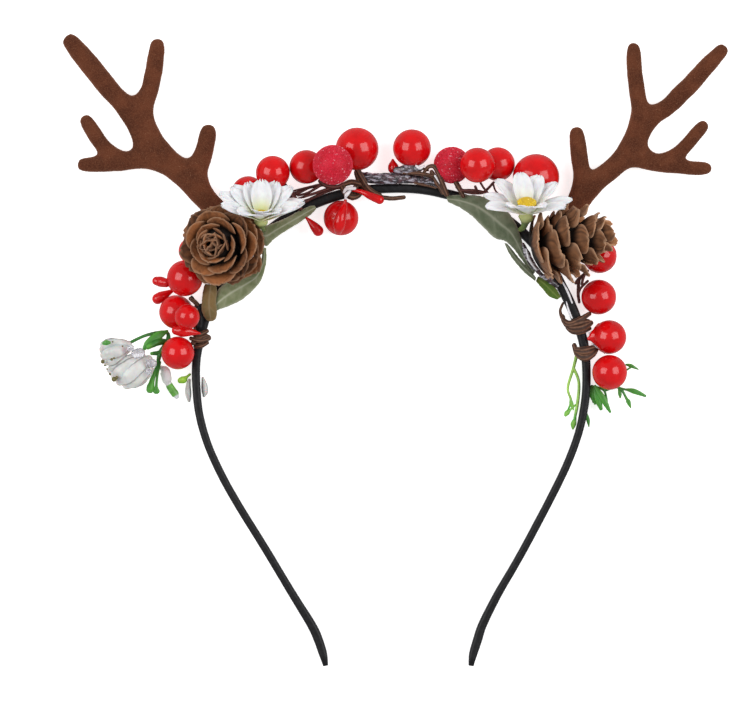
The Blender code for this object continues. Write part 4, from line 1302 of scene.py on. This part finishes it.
STEMS = {
    "bell_sprig": [
        ("l", None, 128.3, 343.6, 8.95, 3), ("i", "l", 144, 336, 7.4, 3), ("h", "i", 158, 332.5, 5.2, 3.4),
        ("a", "h", 167, 333, 3.6, 3.6), ("b", "a", 167, 342, 4.4, 5), ("c", "b", 160, 353, 6.2, 5),
        ("d", "c", 157, 366, 5.6, 3.4), ("e", "d", 152, 380, 5.4, 5), ("f", "e", 150, 389, 5.2, 8),
        ("g", "c", 151.5, 353.5, 7.0, 3.2), ("j", "b", 158, 342, 6.6, 7), ("k", "j", 148, 347, 8.2, 5)],
    "sprig_inner": [
        ("a", None, 577.2, 354.6, 3.6, 3.4), ("b", "a", 574, 368, 3.2, 3.0), ("c", "b", 568.3, 388, 3.0, 2.6),
        ("d", "c", 571.5, 401, 3.0, 2.4), ("h", "d", 568, 411, 3.0, 1.6), ("e", "b", 579.3, 382, 3.2, 2.8),
        ("f", "e", 578.2, 402, 3.2, 3), ("g", "f", 574.2, 424, 3.0, 2.6)],
    "sprig_outer": [
        ("a", None, 593.4, 387, 2.6, 3.4), ("b", "a", 594, 402, 2.4, 2.4), ("d", "a", 605, 391, 2.6, 2.2),
        ("c", "d", 608, 409, 2.6, 2.4), ("e", "d", 620, 388, 3.2, 2.2), ("f", "e", 629, 404, 3.0, 1.8),
        ("g", "e", 643, 394, 3.0, 2.0), ("h", "d", 619, 376, 3.0, 1.8), ("i", "h", 632, 367, 3.2, 1.8)],
}
STEM_PAINT = {"bell_sprig": GREEN, "sprig_inner": GREEN_LIGHT, "sprig_outer": GREEN}

# Blades and buds at the ends of the stems: x, y, height, width along each one
BLADES = {
    "bell_sprig": [
        [(167, 331, 5.6, 2.4), (158, 336, 6.4, 8), (149, 343, 7.2, 8), (143, 350, 7.4, 2.4)],
        [(160, 362, 5.8, 2.0), (157, 376, 5.6, 2.4), (156, 386, 5.4, 3), (156, 391, 5.4, 6.6)],
        [(152.5, 380, 5.6, 3), (150.4, 386, 5.4, 7), (149.6, 390, 5.3, 7)],
        [(104.5, 343.4, 15.6, 3.0), (107.5, 342.8, 15.8, 5.0), (110.5, 342.6, 15.6, 3.0)]],
    "sprig_inner": [
        [(571, 399, 3.2, 2.0), (572, 404, 3.2, 4.0), (574, 410, 3.2, 1.2)],
        [(576, 418, 3.2, 2.2), (574, 424, 3.2, 5.4), (573.4, 429, 3.2, 2.0)],
        [(576, 405, 3.2, 1.8), (571, 409.6, 3.2, 2.2), (567.6, 413, 3.2, 5.0), (566, 415.4, 3.2, 3.0)]],
    "sprig_outer": [
        [(592.4, 386, 3.2, 2.4), (593.0, 394, 3.4, 6.6), (595.6, 404, 3.2, 2.0)],
        [(594.6, 387, 3.6, 2.4), (598, 398, 3.8, 6.8), (601.6, 409, 3.4, 3.4)],
        [(595.6, 386, 4.0, 2.4), (603, 398, 4.2, 6.0), (610.6, 412, 3.6, 2.4)],
        [(626, 389.4, 3.2, 1.8), (635, 391.4, 3.6, 5.0), (646, 396, 3.2, 2.4)],
        [(622.6, 389, 3.2, 1.6), (627, 398, 3.4, 2.2), (629, 402, 3.4, 4.4), (631.4, 408, 3.2, 1.2)],
        [(619.6, 389, 3.0, 2.4), (620.6, 394, 3.0, 3.6), (620.8, 398, 3.0, 1.4)],
        [(627, 364.6, 3.2, 2.0), (632, 366, 3.4, 3.6), (639, 369.4, 3.2, 1.0)],
        [(587.4, 414, 2.6, 1.8), (588.6, 420, 2.8, 3.6), (589.6, 427, 2.6, 1.0)]],
}


def sprig(name, rows):
    bag = Bag("tip")
    for line in chains(rows):
        tube(bag, [row[2:] for row in line], steps=7, sides=14, ridge=0.05, lobes=4, rough=0.04,
             marks=lambda t, _: {"tip": soft((t - 0.72) / 0.2)})
    for blade in BLADES[name]:
        tube(bag, blade, steps=7, sides=18, ridge=0.07, lobes=2, rough=0.05, flat=0.45,
             marks=lambda _, angle: {"tip": 0.25 + 0.6 * abs(math.cos(angle))})
    bag.object(name + "_plastic", STEM_PAINT[name], [name])


for stem_name, stem_rows in STEMS.items():
    sprig(stem_name, stem_rows)

BUDS = {
    "bell_bud": (BUD, "petal", [
        (161.6, 368, 4.2, 5), (164.6, 371, 3.8, 10), (166.4, 379, 3.2, 9.6), (167.6, 383, 2.8, 7),
        (170.6, 388, 2.8, 7.4), (174.6, 394, 2.8, 7.6), (176.2, 396.6, 2.8, 5)]),
    "bell_bud_light": (LIME, "sprig", [
        (189.4, 374.5, 3.2, 2.5), (186.4, 377, 3.2, 3), (183.4, 379.6, 3.2, 7.6), (180, 380.6, 3.2, 6)]),
    "band_petal_outer": (BELL, "petal", [
        (188.8, 380, 3, 3), (187.8, 386, 3, 5), (188, 394, 3, 6), (188.6, 401, 3, 3)]),
    "band_petal_inner": (BELL, "petal", [
        (202.4, 378, 3, 2.5), (204, 385, 3, 6), (204.6, 392, 3, 6.5), (203.6, 396, 3, 3)]),
}


def bud(name, paint, slot, rows):
    bag = Bag("fold", "along")
    # The fold mark paints grey shade in stripes round the pieces in the bell paint
    tube(bag, rows, steps=6, sides=18, ridge=0.06, rough=0.05, caps=4,
         marks=lambda t, angle: {"fold": 0.4 * abs(math.cos(2.5 * angle)), "along": t})
    bag.object(name + "_soft", paint, [name])


for bud_name, bud_look in BUDS.items():
    bud(bud_name, *bud_look)

# Hot glue, wire ends and a berry neck: lines of x, y, height, width

GLUE_STEPS = 8
GLUE_LINES = {
    "crown_glue": (GLUE_STRIP, [
        [(361, 176, 7.0, 9), (376, 178.6, 7.4, 11), (392, 178.4, 7.6, 12), (406, 178.6, 7.4, 9)],
        [(404, 179.6, 7.2, 8), (420, 179.6, 7.6, 8.4), (432, 182.6, 8.0, 6.4), (442, 188, 8.2, 3.4)],
        [(396, 170, 8.6, 6), (408, 169.4, 9.4, 9), (420, 169.2, 9.2, 5)],
        [(523, 244, 8.4, 3), (527, 254, 9.2, 6.4), (532, 264, 9.4, 6.4), (541, 274.6, 8.8, 4)],
        [(541, 275, 8.4, 4), (549, 280, 8.8, 5.4), (557, 286, 8.2, 4)]]),
    "black_wire": (RIBBON, [
        [(191.6, 297, 7.4, 3), (195, 302, 7.4, 3.4), (199, 308, 7.2, 4.4), (201.0, 316, 6.8, 5.6),
         (199.6, 326, 6.4, 5.4), (198.2, 334, 6.2, 3.6)],
        [(196, 306.6, 6.6, 4), (203, 306.6, 6.6, 6), (206, 312, 6.4, 5)]]),
    "berry_neck": (BERRY, [
        [(606, 337, 6.6, 31), (600, 337, 6.8, 27), (595.5, 337.2, 7.4, 20), (592, 337.8, 7.8, 11),
         (589.6, 338.4, 7.8, 5)]]),
    "white_glue": (GLUE_WHITE, [
        [(344, 192.6, 11.6, 2.6), (347, 189, 12.2, 3.8), (354.6, 188.8, 12.0, 3.4)],
        [(350, 191.4, 11.8, 2.8), (346.6, 195, 12.2, 3.8), (345.4, 199, 12.0, 2.0)],
        [(256.6, 235, 23.6, 1.8), (255.4, 246, 25.0, 2.6), (253.6, 257, 24.2, 1.8)],
        [(526, 250, 12.0, 1.6), (529, 260, 12.4, 2.6), (536, 270, 12.0, 1.6)],
        [(563, 283, 9.2, 1.6), (567.6, 292, 9.8, 2.2), (572, 303, 9.6, 1.4)],
        [(566.4, 302, 8.4, 1.2), (569, 312, 9.0, 2.2), (572, 318, 9.2, 1.4)],
        [(435, 176, 9.4, 2.2), (440, 182.6, 9.6, 2.8), (443, 187, 9.4, 1.6)],
        [(416, 166, 10.0, 2.0), (420, 168.4, 10.4, 3.0), (424, 166, 10.0, 2.0)]]),
    "clear_glue": (GLUE, [
        [(590, 333, 7.6, 3), (595.6, 337, 8.0, 9), (600, 338, 8.2, 12)],
        [(592, 344, 8.0, 1.6), (599, 348, 8.6, 2.4), (607, 350.6, 9.0, 1.6)],
        [(136.4, 353.6, 14.4, 9), (141.6, 353.0, 14.4, 9)], [(151, 363, 13.4, 8.4), (153.6, 363.4, 13.4, 8)],
        [(148.6, 371, 13.0, 5), (150, 372, 13.0, 5)],
        [(130, 349, 14.6, 4.6), (133, 347.6, 14.6, 4.6)]]),
}


def glue(name, paint, lines):
    bag = Bag()
    for line in lines:
        seed = GLUE_STEPS * (len(line) - 1) + 1
        tube(bag, line, GLUE_STEPS, sides=16, rough=0.22, seed=seed, flat=0.6, caps=4)
    bag.object(name, paint)


for glue_name, (glue_mat, glue_lines) in GLUE_LINES.items():
    glue(glue_name, glue_mat, glue_lines)

# Stamens and the dark specks on the bells, some of them painted shade in the gaps between petals: x, y, height,
# width

SPECKS = [
    (103.4, 361.6, 12.6, 4.4), (105.6, 365.4, 12.8, 2.2), (114.6, 379.2, 12.2, 5.2),
    (117.4, 377.4, 12.6, 3.4), (113.6, 341.8, 14.6, 1.8), (123.4, 346.2, 14.4, 1.8),
    (112.6, 359.4, 14.6, 2.8), (115.0, 358.2, 14.8, 2.2), (110.6, 374, 12.6, 2.6),
    (107.6, 369, 12.4, 1.8), (149.4, 367, 12.6, 1.8),
]


def stamens():
    bag = Bag("tip")
    for x, y, z, width in SPECKS:
        ball(bag, at(x, y, z), width / 2 * UNIT, segments=12, rings=8, tip=0.5)
    bag.object("bell_stamens", STAMEN)


stamens()

# Stage, light and camera

FLOOR_HALF = 6.0
FLOOR_Z = -0.0004
FLOOR_GLOW = 0.72
WORLD_LIGHT = 0.32
BOX_SIZE = 1.05
BOX_POWER = 12.5
BOX_FAR = 1.5
BOX_SIDE, BOX_BACK, BOX_UP = 0.66, 0.18, 0.74
SENSOR_WIDTH = 36.0
PHOTO_WIDTH = 754
VIEW_X, VIEW_Y = 377.0, 357.0
CAMERA_FAR = 1.9
FOCUS_Z = 0.008
CLIP_END = 20.0


def link(name, data):
    obj = bpy.data.objects.new(name, data)
    bpy.context.scene.collection.objects.link(obj)
    return obj


def soft_box(name, direction):
    data = bpy.data.lights.new(name, "AREA")
    data.shape = "SQUARE"
    data.size = BOX_SIZE
    data.energy = BOX_POWER
    light = link(name, data)
    direction = Vector(direction).normalized()
    light.location = direction * BOX_FAR
    light.rotation_euler = direction.to_track_quat("Z", "Y").to_euler()


def lay_floor():
    bm = bmesh.new()
    bmesh.ops.create_grid(bm, x_segments=2, y_segments=2, size=FLOOR_HALF)
    mesh = bpy.data.meshes.new("floor")
    bm.to_mesh(mesh)
    bm.free()
    floor = link("floor", mesh)
    floor.location.z = FLOOR_Z
    paint = Paint("floor_paper", 0.9, Specular_IOR_Level=0.0)
    paint.color(paint.blend(paint.noise(3, 2), (0.86, 0.86, 0.86), (0.88, 0.88, 0.88)))
    paint.shader.inputs["Emission Color"].default_value = (1, 1, 1, 1)
    paint.shader.inputs["Emission Strength"].default_value = FLOOR_GLOW
    mesh.materials.append(paint.mat)
    floor.visible_glossy = False


def surroundings():
    world = bpy.data.worlds.new("studio")
    bpy.context.scene.world = world
    world.use_nodes = True
    background = world.node_tree.nodes["Background"]
    background.inputs["Color"].default_value = (1.0, 1.0, 1.0, 1.0)
    background.inputs["Strength"].default_value = WORLD_LIGHT


def camera():
    """A camera straight above that sees one photograph width at the focus height."""
    data = bpy.data.cameras.new("camera")
    data.sensor_width = SENSOR_WIDTH
    data.lens = SENSOR_WIDTH * (CAMERA_FAR - FOCUS_Z) / (PHOTO_WIDTH * UNIT)
    data.clip_end = CLIP_END
    obj = link("camera", data)
    obj.location = (*at(VIEW_X, VIEW_Y, 0.0).xy, CAMERA_FAR)
    bpy.context.scene.camera = obj


lay_floor()
soft_box("box_left", (-BOX_SIDE, BOX_BACK, BOX_UP))
soft_box("box_right", (BOX_SIDE, BOX_BACK, BOX_UP))
surroundings()
bpy.context.scene.view_settings.view_transform = "Standard"
camera()
